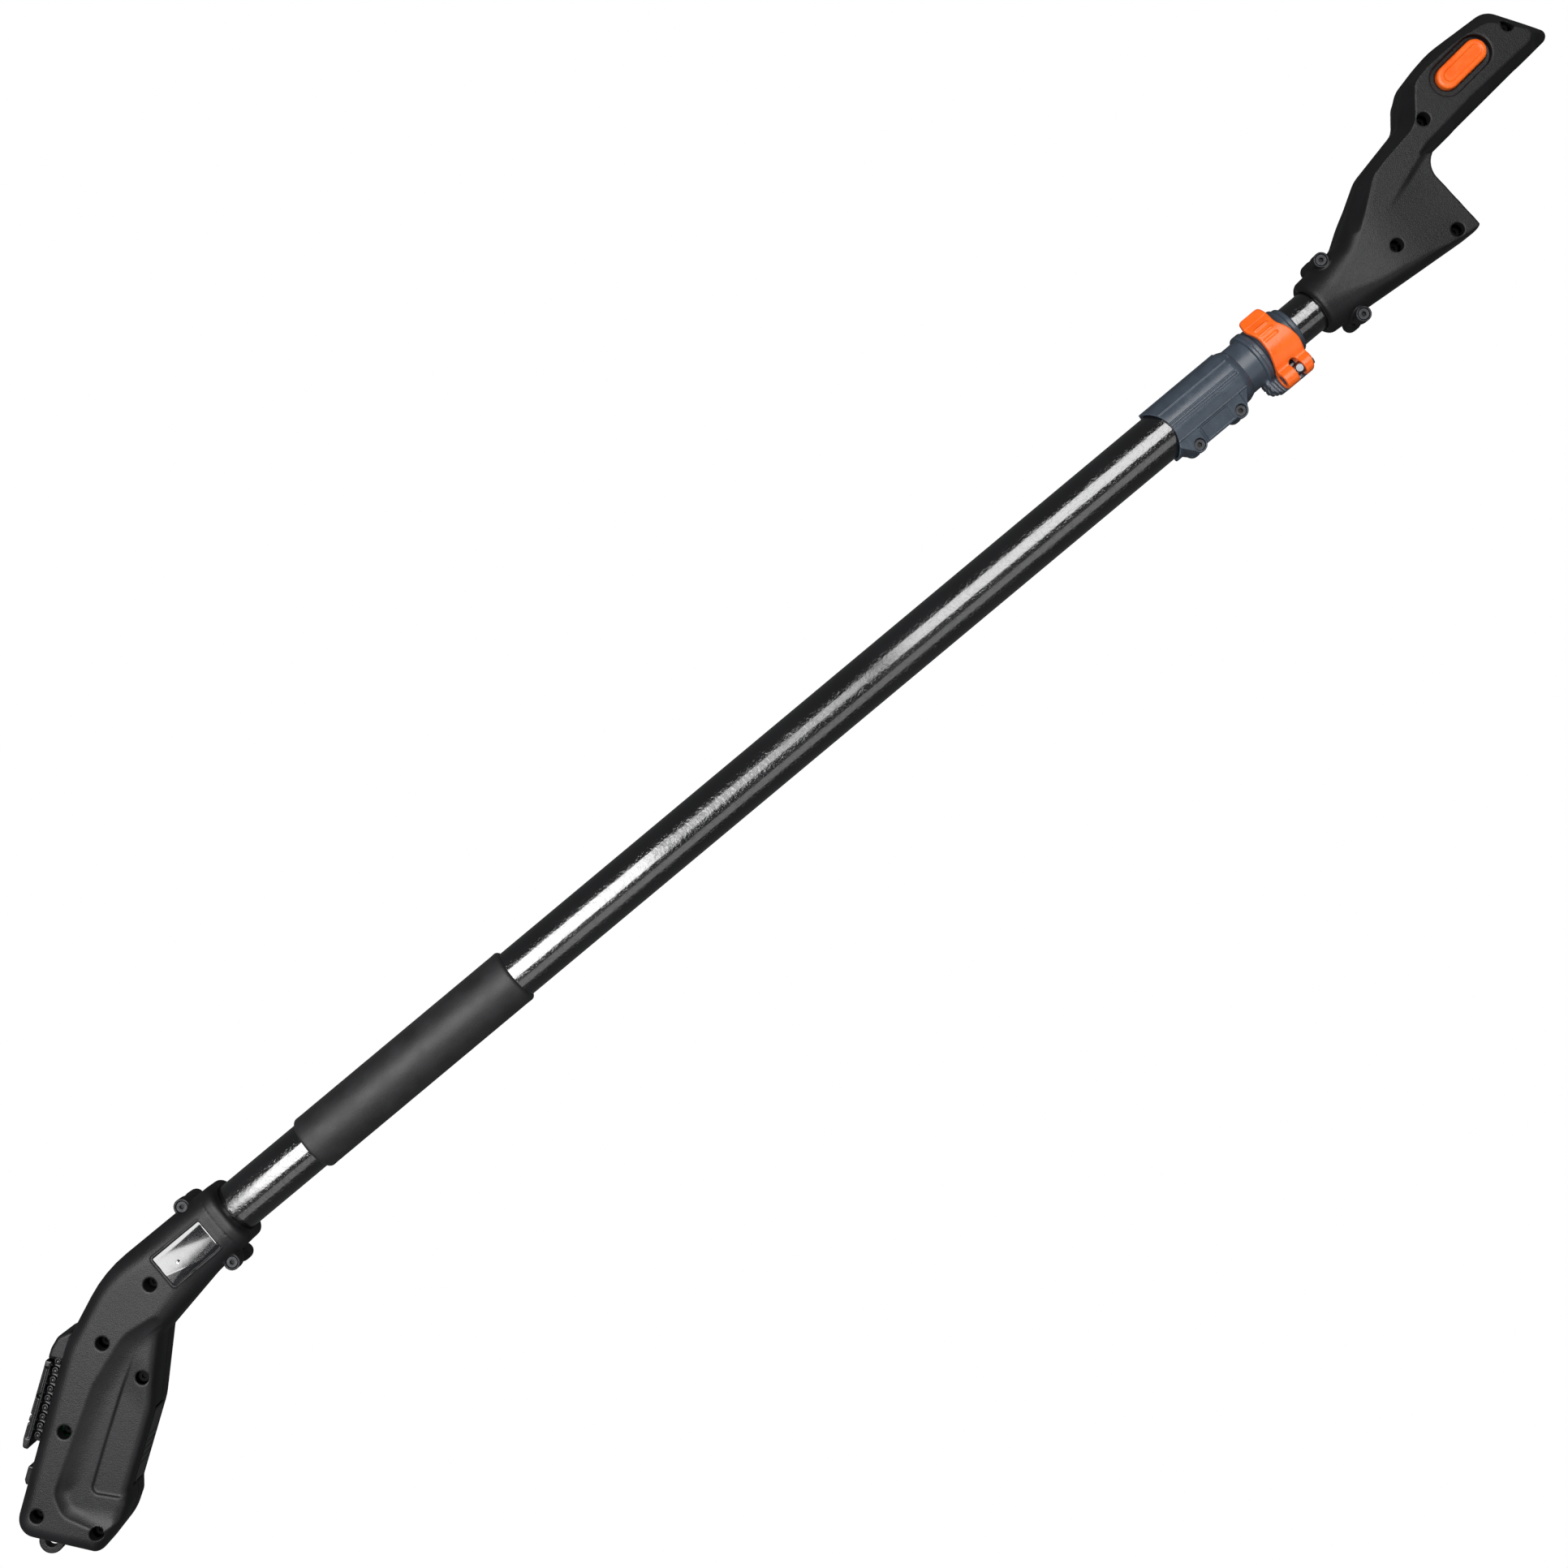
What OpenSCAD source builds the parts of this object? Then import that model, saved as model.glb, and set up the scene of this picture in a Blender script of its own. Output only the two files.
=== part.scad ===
// Telescoping pole with a battery grip at its rear end and a saw dock at its head.
// Millimetres. +X runs along the pole towards the head, +Z is up, and the pole lies on its side.
// Shapes are drawn about the pole's own axis, with x = 0 at the mouth of the rear grip, and
// place() then stands the whole pole on z = 0 with its box centred on x = 0 and y = 0.

/* [Tubes] */
// Outside diameter of the outer tube
outer_od = 35; // [34.8:0.1:35.2]
// Wall of the outer tube
outer_wall = 1.4; // [1.3:0.1:1.5]
// Outside diameter of the inner tube
inner_od = 30; // [29.9:0.1:30]
// Wall of the inner tube
inner_wall = 1.4; // [1.2:0.1:1.6]
// Where the outer tube ends, inside the collar
outer_end = 860; // [856:1:864]
// How far the outer tube reaches into the rear grip
tube_seat = 60; // [56:1:60]

/* [Grip] */
// Half the thickness of the rear grip and of the head
half_thick = 26; // [25:0.5:28]
// Where the foam sleeve begins
foam_start = 67; // [60:1:80]
// Length of the foam sleeve
foam_len = 179; // [150:1:200]
// Outside diameter of the foam sleeve
foam_od = 40.3; // [39.5:0.1:42]
// Width of the trigger paddle
trigger_w = 19.6; // [18:0.1:19.6]

/* [Lock] */
// Radius of the collar
collar_r = 20; // [19.8:0.1:20.2]
// Radius of the split ring's flange
flange_r = 20.3; // [20:0.1:20.4]
// Thickness of the cam lever
lever_t = 3.9; // [3.5:0.1:4.2]
// Width of the cam lever along the pole
lever_w = 25; // [24:0.5:25.5]

/* [Head] */
// Length of an oval release button
button_l = 40.4; // [39:0.1:40.8]
// Width of an oval release button
button_w = 16; // [15:0.1:16.4]
// Travel of a release button
button_travel = 3.5; // [3:0.1:3.5]

/* [Hidden] */
$fn = 48;

// Clearances: nothing, between pieces screwed together, between a shaft and its hole, loose
gap = 0.3;
run_gap = 0.05;
cut = 1;

outer_r = outer_od / 2;
outer_bore = outer_r - outer_wall;
inner_r = inner_od / 2;
inner_bore = inner_r - inner_wall;

// ---- outlines: each point is [x, y, corner radius], anticlockwise ----

mouth_x = 946.5;
lip = 22.9;
REAR = [
    [0, lip, 4], [-91.3, 23.6, 90], [-141, 3, 50], [-248.5, -71.8, 14], [-212.5, -119.3, 6],
    [-187, -113.8, 30], [-175.8, -106.8, 4], [-170, -99.7, 4], [-122.9, -68, 40],
    [-87, -33.8, 5], [-40, -25.6, 60], [0, -lip, 4]
];
REAR_CAVITY = [
    [-78, 18, 2], [-94, 18, 40], [-141, -2, 40], [-241, -72, 10], [-213, -112, 4],
    [-189, -108, 12], [-170, -94, 6], [-126, -64, 20], [-92, -31, 3], [-78, -25, 2]
];
POCKET = [
    [-72, -24, 4], [-104, -16.5, 30], [-140, -30, 30], [-207, -69, 12], [-209.5, -84, 12],
    [-196, -110, 4], [-180, -130, 1], [-60, -60, 1]
];
HEAD = [
    [1061.5, -29.6, 3], [1058.6, 28.4, 14], [1186.5, 39.7, 5], [1161, 80.6, 14],
    [1112, 83.2, 60], [1086.5, 77.4, 14], [1066, 57.4, 12], [1026.5, 49.2, 22],
    [983, 23.6, 14], [mouth_x, 20.5, 3], [mouth_x, -20.5, 3], [983, -23.2, 40]
];
HEAD_CAVITY = [
    [1056, -24, 3], [1053, 32, 8], [1086, 39, 6], [1172, 46, 4], [1156, 75, 10],
    [1112, 78, 40], [1089, 72, 10], [1068, 52, 8], [1028, 43, 14], [1004, 26, 6],
    [1004, -20, 3]
];

// Height bands of a moulded half: [bottom, top, how far its outline is drawn in]
BANDS = [
    [0, 0.38, 0], [0.38, 0.6, 0.9], [0.6, 0.8, 2.4], [0.8, 0.92, 4.8], [0.92, 1, 7.6]
];

function unit(v) = v / norm(v);
function xy(p) = [p[0], p[1]];
function left(v) = [-v[1], v[0]];
function at(list, i) = list[(i + len(list)) % len(list)];
function heading_in(list, i) = unit(xy(list[i]) - xy(at(list, i - 1)));
function heading_out(list, i) = unit(xy(at(list, i + 1)) - xy(list[i]));
function turn(list, i) = let (a = heading_in(list, i), b = heading_out(list, i))
    atan2(a[0] * b[1] - a[1] * b[0], a * b);
function inset(list, d) = [
    for (i = [0:len(list) - 1])
        let (a = left(heading_in(list, i)), b = left(heading_out(list, i)))
        let (p = xy(list[i]) + d * (a + b) / (1 + a * b))
        [p[0], p[1], turn(list, i) > 0 ? max(list[i][2] - d, 0.5) : list[i][2] + d]
];
function corner(list, i) =
    let (t = turn(list, i), side = sign(t), half = abs(t) / 2)
    let (room = 0.47 * min(norm(xy(at(list, i + 1)) - xy(list[i])),
        norm(xy(list[i]) - xy(at(list, i - 1)))))
    let (reach = min(list[i][2] * tan(half), room), r = reach / tan(half))
    let (a = heading_in(list, i), start = xy(list[i]) - reach * a)
    let (centre = start + side * r * left(a), steps = ceil(abs(t) / 15) + 1)
    [for (k = [0:steps]) let (g = t * k / steps)
        centre - side * r * [left(a)[0] * cos(g) - left(a)[1] * sin(g),
            left(a)[0] * sin(g) + left(a)[1] * cos(g)]];
function rounded(list) = [for (i = [0:len(list) - 1]) each corner(list, i)];

// ---- places ----

REAR_SCREWS = [[-67.9, -3], [-117.1, -12.7], [-174, -41.7], [-223.9, -72.9],
    [-201.3, -107.3], [-113.8, -47.2]];
REAR_CLAMPS = [[-22.2, 23.4], [-20, -26.4]];
HEAD_SCREWS = [[1075.1, 49.9], [1008.3, -3], [1046.4, -20.8], [1158.2, 62.4]];
HEAD_CLAMPS = [[966.8, 21.9], [965.7, -24]];
COLLAR_SCREWS = [[826.7, -21], [862.5, -21]];
screw_r = 1.9;
screw_head_r = 3.6;
recess_r = 4.6;
clamp_boss_r = 5.6;
clamp_half = 17;

// The rear grip's upper wall, which carries the battery: a point on it and its slope
dock_at = [-143.7, 1];
dock_slope = 34.8;
rail_len = 68;
rail_low = 4.8;
rail_high = 9.6;
rail_half = 18;
neck_half = 13;

// Trigger: slot's rear end on the lower wall, slope of the wall, and its pivot
trigger_at = [-170, -99.7];
trigger_slope = 33.95;
trigger_len = 56.8;
trigger_pivot = [49.5, 5.2];
trigger_pin_r = 2;

// Hanging loop
loop_at = [-238.6, -93];
loop_r = 8.6;
loop_hole_r = 4;
loop_half = 3.5;

// Lock
collar_start = 806;
collar_end = 880;
scallop_r = 32;
scallop_x = 818;
sleeve_start = 821;
sleeve_end = 926.3;
flange_start = 891.5;
ring_start = 897;
ring_end = 922;
ring_r = 19.2;
neck_r = 17.8;
nose_r = 17.3;
split_half = 0.9;
ear_low = -31;
ear_half = 7;
pivot_y = -24.2;
pivot_z = 15.2;
pivot_x = 908.2;
barrel_r = 4;
cam_r = 6.8;
cam_offset = 0.4;
lever_x = 895.5;
lever_in = 20.9;
fork_w = 6.5;
bolt_r = 2.5;
shoe_t = 0.9;

// Head
arm_slope = 4.8;
button_at = [1119, 61.9];
dish_at = [1117, 61.4];
dish_floor = 21;
button_top = dish_floor + button_travel + 0.3;
rim_z = 16.4;
rim_h = 1.8;
dock_recess_at = [1128, 35];
plate_half = 2;

// Where the inner tube ends inside the head, and the bush on its other end
inner_end = 1000;
guide_start = -30;
guide_end = -2;

// The lead inside the pole: a thick wire that passes beside the screws, and its coil
lead_r = 2.4;
lead_y = 6;
lead_start = -84;
coil_start = -46;
coil_end = 955;
coil_r = 10.4;
HEAD_LEAD = [[coil_end + 1, lead_y], [1012, lead_y], [1050, 39], [1088.5, 42.3]];

// ---- standing the pole in its own frame ----

x_low = loop_at[0] - loop_r;
x_high = max([for (p = rounded(HEAD)) p[0]]);
y_low = min([for (p = rounded(REAR)) p[1]]);
y_high = max([for (p = rounded(HEAD)) p[1]]);
module place()
    translate([-(x_low + x_high) / 2, -(y_low + y_high) / 2, half_thick]) children();

// ---- shared shapes ----

// A straight round bar and a straight round pipe along the pole
module rod_x(x0, x1, r)
    translate([x0, 0, 0]) rotate([0, 90, 0]) cylinder(h = x1 - x0, r = r);
module pipe_x(x0, x1, r, bore)
    difference() {
        rod_x(x0, x1, r);
        rod_x(x0 - cut, x1 + cut, bore);
    }
module block(x0, x1, y0, y1, z0, z1)
    translate([x0, y0, z0]) cube([x1 - x0, y1 - y0, z1 - z0]);
module post(p, z0, z1, r)
    translate([p[0], p[1], z0]) cylinder(h = z1 - z0, r = r);
module slab(list, z0, z1)
    translate([0, 0, z0]) linear_extrude(z1 - z0) polygon(rounded(list));
module far_side()
    mirror([0, 0, 1]) children();

// One moulded half, on the +Z side of the parting plane, drawn in towards its face
module pillow(list)
    for (b = BANDS) slab(inset(list, b[2]), b[0] * half_thick, b[1] * half_thick);

// A stadium, lying along X
module oval(l, w, h)
    union() {
        translate([-(l - w) / 2, -w / 2, 0]) cube([l - w, w, h]);
        for (s = [-1, 1]) translate([s * (l - w) / 2, 0, 0]) cylinder(h = h, r = w / 2);
    }

// A socket screw that stands in -Z from its head's top, and a hexagon nut
module screw(p, top, tip, r, head_r, head_h)
    difference() {
        union() {
            post(p, top - head_h, top, head_r);
            post(p, tip, top - head_h, r);
        }
        translate([p[0], p[1], top - head_h / 2])
            cylinder(h = head_h, r = head_r * 0.5, $fn = 6);
    }
module nut(p, z0, z1, across, bore)
    translate([p[0], p[1], z0]) difference() {
        cylinder(h = z1 - z0, r = across / 2 / cos(30), $fn = 6);
        translate([0, 0, -cut]) cylinder(h = z1 - z0 + 2 * cut, r = bore);
    }

// Frames that follow a slanted wall: +X along it, +Y out of it
module on_dock()
    translate([dock_at[0], dock_at[1], 0]) rotate([0, 0, 180 + dock_slope])
        mirror([0, 1, 0]) children();
module on_trigger()
    translate([trigger_at[0], trigger_at[1], 0]) rotate([0, 0, trigger_slope]) children();
module on_arm(p)
    translate([p[0], p[1], 0]) rotate([0, 0, arm_slope]) children();

// ---- tubes ----

module outer_tube()
    color("#141415") pipe_x(-tube_seat, outer_end, outer_r, outer_bore);

module inner_tube()
    color("#101011") pipe_x(guide_end, inner_end, inner_r, inner_bore);

module guide_bush()
    color("#3b3f44") difference() {
        union() {
            rod_x(guide_start, guide_end, outer_bore - run_gap);
            rod_x(guide_start, guide_end + 24, inner_bore - run_gap);
        }
        rod_x(guide_start - cut, guide_end + 24 + cut, inner_bore - 1.8);
    }

module foam_profile()
    polygon([
        [outer_r + run_gap, foam_start],
        each [for (a = [0:15:90]) [foam_od / 2 - 2.2 * (1 - sin(a)), foam_start + 2.2 * (1 - cos(a))]],
        each [for (a = [90:15:180])
            [foam_od / 2 - 2.2 * (1 - sin(a)), foam_start + foam_len - 2.2 * (1 + cos(a))]],
        [outer_r + run_gap, foam_start + foam_len]
    ]);
module foam_grip()
    color("#1c1c1d") rotate([0, 90, 0]) rotate_extrude($fn = 64) foam_profile();

module rear_tube_plug()
    color("#2a2b2d") difference() {
        union() {
            rod_x(-tube_seat - 2, -tube_seat, outer_r - 0.6);
            rod_x(-tube_seat, -tube_seat + 12, outer_bore - run_gap);
        }
        translate([0, lead_y, 0]) rod_x(-tube_seat - 2 - cut, -tube_seat + 12 + cut, lead_r + 0.6);
    }

// The spring lead that carries current up the pole: an entry, a coil's body and an exit
module coiled_lead()
    color("#202022") union() {
        translate([0, lead_y, 0]) rod_x(lead_start, coil_start + 1, lead_r);
        rod_x(coil_start, coil_start + 2.5, coil_r);
        pipe_x(coil_start + 2, coil_end, coil_r, coil_r - 2 * lead_r);
    }

// ---- rear grip ----

module rear_solid()
    union() {
        pillow(REAR);
        for (p = REAR_CLAMPS) post(p, 0, clamp_half, clamp_boss_r);
    }

module rear_hollow() {
    slab(REAR_CAVITY, -cut, 0.69 * half_thick);
    rod_x(-tube_seat - 3, cut, outer_r + run_gap);
    rod_x(-84, -tube_seat, 12);
    // trigger's slot through the lower wall
    on_trigger() block(0.4, trigger_len - 0.4, -6, 12, -cut, trigger_w / 2 + gap);
    // seat for the battery's terminal block, the hood, the keeper and the loop
    on_dock() block(3, rail_len - 3, -4, 8, -cut, neck_half + run_gap);
    on_dock() block(-12, 9, -3.4, 14, -cut, 16 + run_gap);
    on_dock() block(84, 97, -3.4, 6, -cut, 9 + run_gap);
    post(loop_at, -cut, loop_half + run_gap, loop_r + 0.4);
    on_loop_tail() block(-6.25, 6.25, 5, 13.05, -cut, loop_half + run_gap);
}
module on_loop_tail()
    translate([loop_at[0], loop_at[1], 0]) rotate([0, 0, -53]) children();

module rear_bosses() {
    intersection() {
        union() {
            for (p = REAR_SCREWS) post(p, 0, 0.7 * half_thick, 4.8);
            on_trigger() post(trigger_pivot, trigger_w / 2 + gap, 0.7 * half_thick, 4.4);
        }
        slab(REAR, -cut, half_thick);
    }
}

module rear_half()
    difference() {
        union() {
            difference() {
                rear_solid();
                rear_hollow();
            }
            rear_bosses();
        }
        slab(POCKET, 0.81 * half_thick, half_thick + cut);
        on_trigger() post(trigger_pivot, -cut, 0.6 * half_thick, trigger_pin_r + run_gap);
        on_trigger() block(0.4, trigger_len - 0.4, -6, 12, -cut, trigger_w / 2 + gap);
        rod_x(-tube_seat - 3, cut, outer_r + run_gap);
    }

module rear_housing_near()
    color("#29292b") difference() {
        rear_half();
        for (p = REAR_SCREWS) post(p, 12, half_thick + cut, recess_r);
        for (p = REAR_SCREWS) post(p, -cut, half_thick, screw_r + gap);
        for (p = REAR_CLAMPS) post(p, clamp_half - 5, half_thick, recess_r - 0.6);
        for (p = REAR_CLAMPS) post(p, -cut, half_thick, screw_r + gap);
        block(-56.4, -15.6, -14.5, 9.5, half_thick - 0.6, half_thick + cut);
    }

module rear_housing_far()
    color("#262628") far_side() difference() {
        rear_half();
        for (p = REAR_SCREWS) post(p, -cut, 14, screw_r + run_gap);
        for (p = REAR_CLAMPS) post(p, -cut, half_thick, screw_r + gap);
        for (p = REAR_CLAMPS)
            translate([p[0], p[1], clamp_half - 3.4])
                cylinder(h = 9, r = 3.7 / cos(30), $fn = 6);
    }

module rear_housing_screws()
    color("#4a4b4e") for (p = REAR_SCREWS) screw(p, 15.5, -12, screw_r, screw_head_r, 3.4);

module rear_clamp_screws()
    color("#5c5d60") for (p = REAR_CLAMPS)
        screw(p, clamp_half - 1, -clamp_half + 0.4, screw_r, screw_head_r, 3.8);

module rear_clamp_nuts()
    color("#5c5d60") for (p = REAR_CLAMPS)
        nut(p, -clamp_half + 0.2, -clamp_half + 3.3, 7.2, screw_r + run_gap);

module label_panel()
    color("#17181b")
        slab([[-16, -14.2, 1], [-16, 9.2, 1], [-56, 9.2, 1], [-56, -14.2, 1]],
            half_thick - 0.55, half_thick + 0.3);

module battery_rail()
    color("#1f1f21") on_dock() difference() {
        slab([[rail_len + 2, rail_low, 0.6], [rail_len + 2, rail_high - 1, 2.4],
            [rail_len - 4, rail_high, 4], [9.4, rail_high - 0.6, 0.6], [9.4, rail_low, 0.6]],
            -rail_half, rail_half);
        for (s = [-1, 1]) translate([34, 7.4, s * rail_half])
            cylinder(h = 8, r = 1.9, center = true);
        for (x = [48, 53]) block(x, x + 1.6, rail_low + 1.2, rail_high - 1.4, rail_half - 1.2,
            rail_half + cut);
    }

module battery_terminal_block()
    color("#161617") on_dock() difference() {
        union() {
            block(3.2, rail_len - 3.2, -3.8, rail_low, -neck_half, neck_half);
            for (i = [0:8]) translate([9 + i * 6.4, 2.2, 0])
                cylinder(h = 2 * (neck_half + 1.6), r = 1.9, center = true);
        }
        for (z = [-8, -2.7, 2.7, 8])
            block(20, rail_len, -5, 2.6, z - 0.8, z + 0.8);
    }

module battery_terminals()
    color("#b08a3c") on_dock() for (z = [-8, -2.7, 2.7, 8])
        block(28, rail_len - 8, -3.6, 2.4, z - 0.4, z + 0.4);

module battery_hood()
    color("#222224") on_dock() difference() {
        slab([[9, -3.2, 0.4], [9, 9, 1.2], [2, 8.8, 4], [-7, 6.4, 6], [-11.8, 0, 3],
            [-11.8, -3.2, 0.4]], -16, 16);
        block(2.9, 10, -4, rail_low + gap, -neck_half - 2, neck_half + 2);
    }

module latch_keeper()
    color("#202022") on_dock() difference() {
        slab([[96.9, -3.2, 0.3], [96.9, 2.6, 1], [94, 4, 1.4], [84.2, 4, 1.4],
            [84.2, -3.2, 0.3]], -9, 9);
        block(87, 94, 1.8, 5, -5, 5);
    }

module hanging_loop()
    color("#1d1d1f") difference() {
        union() {
            post(loop_at, -loop_half, loop_half, loop_r);
            on_loop_tail() block(-6.2, 6.2, 5, 13, -loop_half, loop_half);
        }
        post(loop_at, -loop_half - cut, loop_half + cut, loop_hole_r);
    }

module control_board()
    color("#1f5a36") union() {
        on_dock() block(22, 66, -13, -11.4, -11, 11);
        on_dock() block(28, 40, -17, -13, -6, 6);
        on_dock() for (z = [-7, 7]) translate([60.5, -13, z]) rotate([90, 0, 0])
            cylinder(h = 5, r = 3);
    }

module trigger_switch()
    color("#3a3a3d") on_trigger() union() {
        block(16, 36, 15.5, 25, -7, 7);
        block(21, 25, 14.8, 15.5, -2, 2);
    }

module trigger_paddle()
    color("#1b1b1d") on_trigger() difference() {
        slab([[2, 0, 1], [trigger_len - 2.6, 0, 1], [trigger_len - 2.6, 6, 3.5],
            [trigger_len - 8, 9.4, 3], [44, 9.4, 3], [22, 11.4, 4], [4, 8, 3], [2, 5, 1]],
            -trigger_w / 2, trigger_w / 2);
        post(trigger_pivot, -trigger_w, trigger_w, trigger_pin_r + run_gap);
        post(trigger_pivot, -4, 4, 4.2 + gap);
        block(trigger_pivot[0] - 12, trigger_pivot[0] + 1, 5, 13, -4, 4);
    }

module trigger_pin()
    color("silver") on_trigger() post(trigger_pivot, -15.4, 15.4, trigger_pin_r);

module trigger_spring()
    color("#8d9095") on_trigger() difference() {
        union() {
            post(trigger_pivot, -3.4, 3.4, 3.8);
            block(trigger_pivot[0] - 9, trigger_pivot[0], 8.0, 9.0, 2.4, 3.4);
        }
        post(trigger_pivot, -4, 4, trigger_pin_r + 0.4);
    }

// ---- telescopic lock ----

module collar_body()
    difference() {
        union() {
            rod_x(collar_start, collar_end - 4.4, collar_r);
            translate([collar_end - 4.4, 0, 0]) rotate([0, 90, 0])
                cylinder(h = 4.4, r1 = collar_r, r2 = neck_r + 0.4);
            for (a = [35, 2.5, -2.5, -33]) rotate([a, 0, 0])
                block(collar_start, collar_end - 6, -0.6, 0.6, 0, collar_r + 0.7);
            block(collar_start + 12, collar_end - 4, -24.1, -14, 0, 6.5);
            block(834, 855.5, -23.6, -12, 0, 9.5);
            for (p = COLLAR_SCREWS) post(p, 0, 12.5, 5);
        }
        rod_x(collar_start - cut, collar_end + cut, outer_r + run_gap);
        rod_x(outer_end, collar_end + cut, neck_r + run_gap);
        translate([scallop_x - scallop_r, 0, -cut]) cylinder(h = 60, r = scallop_r);
        block(collar_start - cut, collar_end + cut, -40, 40, -40, 0);
    }

module collar_near()
    color("#46505b") difference() {
        collar_body();
        for (p = COLLAR_SCREWS) post(p, 8.3, 13.5, recess_r - 0.3);
        for (p = COLLAR_SCREWS) post(p, -cut, 13, screw_r + gap);
    }

module collar_far()
    color("#424c57") far_side() difference() {
        collar_body();
        for (p = COLLAR_SCREWS) post(p, -cut, 13, screw_r + gap);
        for (p = COLLAR_SCREWS) translate([p[0], p[1], 9])
            cylinder(h = 6, r = 3.6 / cos(30), $fn = 6);
    }

module collar_screws()
    color("#2d2e30") for (p = COLLAR_SCREWS) screw(p, 12, -12.2, screw_r, 3.6, 3.6);

module collar_nuts()
    color("#77797d") for (p = COLLAR_SCREWS) nut(p, -12.3, -9.1, 7, screw_r + run_gap);

module lock_ear()
    slab([[889, -14, 1], [890, -27, 6], [896.5, ear_low, 4], [921.5, ear_low, 3],
        [921.5, -14, 1]], -ear_half, ear_half);

module lock_sleeve()
    color("#46505b") difference() {
        union() {
            rod_x(sleeve_start, outer_end + 1, outer_bore - run_gap);
            rod_x(outer_end + 0.2, flange_start, neck_r);
            rod_x(flange_start, ring_start, flange_r);
            rod_x(ring_start, ring_end, ring_r);
            rod_x(ring_end, sleeve_end, nose_r);
            lock_ear();
        }
        rod_x(sleeve_start - cut, sleeve_end + cut, inner_r + 0.06);
        block(888, sleeve_end + cut, ear_low - cut, -10, -split_half, split_half);
        post([pivot_x, pivot_y], -10, 10, bolt_r + gap);
    }

module cam_shoe()
    color("#8b9096") difference() {
        block(896.5, 919.5, -30, -18.6, ear_half + 0.02, ear_half + shoe_t);
        post([pivot_x, pivot_y], 0, 12, bolt_r + gap);
    }

function polar(r, a) = [r * sin(a), r * cos(a)];
module lever_profile() {
    lever_out = lever_in + lever_t;
    polygon([
        each [for (a = [-48:6:42]) polar(lever_out, a)],
        [polar(lever_out, 42)[0] + 8.2, 13.6],
        [polar(lever_out, 42)[0] + 8.8, 12.6],
        [polar(lever_out, 42)[0] + 7.8, 11.2],
        each [for (a = [44:-5:-56]) polar(lever_in, a)]
    ]);
    translate([pivot_y, pivot_z - cam_offset]) circle(r = cam_r);
}
module cam_lever()
    color("#f2671f") difference() {
        translate([lever_x, 0, 0]) rotate([90, 0, 90]) linear_extrude(lever_w) lever_profile();
        translate([lever_x - cut, pivot_y, pivot_z]) rotate([0, 90, 0])
            cylinder(h = lever_w + 2 * cut, r = barrel_r + run_gap);
        block(pivot_x - fork_w / 2, pivot_x + fork_w / 2, -33, pivot_y + 7.8, 0, 30);
    }

module lever_barrel_pin()
    color("silver") difference() {
        translate([lever_x + 0.8, pivot_y, pivot_z]) rotate([0, 90, 0])
            cylinder(h = lever_w - 1.6, r = barrel_r);
        post([pivot_x, pivot_y], 0, 30, bolt_r + run_gap);
    }

module lever_bolt()
    color("silver") post([pivot_x, pivot_y], -13.4, pivot_z + 5.6, bolt_r);

module lever_nut()
    color("silver") nut([pivot_x, pivot_y], -11.6, -7.2, 8, bolt_r + run_gap);

// ---- head ----

module head_solid()
    union() {
        pillow(HEAD);
        for (p = HEAD_CLAMPS) post(p, 0, clamp_half, clamp_boss_r - 0.3);
    }

module head_hollow() {
    slab(HEAD_CAVITY, -cut, 0.7 * half_thick);
    rod_x(mouth_x - cut, 1000.5, inner_r + run_gap);
    rod_x(999, 1006, 10);
    // the saw's connector stands in a pocket under the arm
    on_arm(dock_recess_at) block(-38, 34, -8, 9, -cut, 15);
}

module head_half()
    difference() {
        union() {
            difference() {
                head_solid();
                head_hollow();
            }
            for (p = HEAD_SCREWS) post(p, 0, 0.71 * half_thick, 4.8);
        }
        on_arm(dish_at) translate([0, 0, dish_floor]) oval(48, 23.6, 8);
        on_arm(button_at) translate([0, 0, 0]) oval(button_l + 2 * gap, button_w + 2 * gap, 30);
        on_arm(button_at) oval(button_l + 6, button_w + 5, rim_z + rim_h + gap);
        rod_x(mouth_x - cut, 1000.5, inner_r + run_gap);
    }

module head_near()
    color("#29292b") difference() {
        head_half();
        for (p = HEAD_SCREWS) post(p, 12, half_thick + cut, recess_r);
        for (p = HEAD_SCREWS) post(p, -cut, half_thick, screw_r + gap);
        for (p = HEAD_CLAMPS) post(p, clamp_half - 5, half_thick, recess_r - 0.6);
        for (p = HEAD_CLAMPS) post(p, -cut, half_thick, screw_r + gap);
    }

module head_far()
    color("#262628") far_side() difference() {
        head_half();
        for (p = HEAD_SCREWS) post(p, -cut, 14, screw_r + run_gap);
        for (p = HEAD_CLAMPS) post(p, -cut, half_thick, screw_r + gap);
        for (p = HEAD_CLAMPS)
            translate([p[0], p[1], clamp_half - 3.4])
                cylinder(h = 9, r = 3.7 / cos(30), $fn = 6);
    }

module head_screws()
    color("#4a4b4e") for (p = HEAD_SCREWS) screw(p, 15.5, -12, screw_r, screw_head_r, 3.4);

module head_clamp_screws()
    color("#5c5d60") for (p = HEAD_CLAMPS)
        screw(p, clamp_half - 1, -clamp_half + 0.4, screw_r, screw_head_r, 3.8);

module head_clamp_nuts()
    color("#5c5d60") for (p = HEAD_CLAMPS)
        nut(p, -clamp_half + 0.2, -clamp_half + 3.3, 7.2, screw_r + run_gap);

module saw_connector()
    color("#151516") on_arm(dock_recess_at) difference() {
        block(-37.8, 33.8, 1, 8.8, -14.8, 14.8);
        for (z = [-9, -3, 3, 9]) block(-20, 35, -cut, 5, z - 0.9, z + 0.9);
        block(-39, -30, 0, 4, -8, 8);
    }

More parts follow.
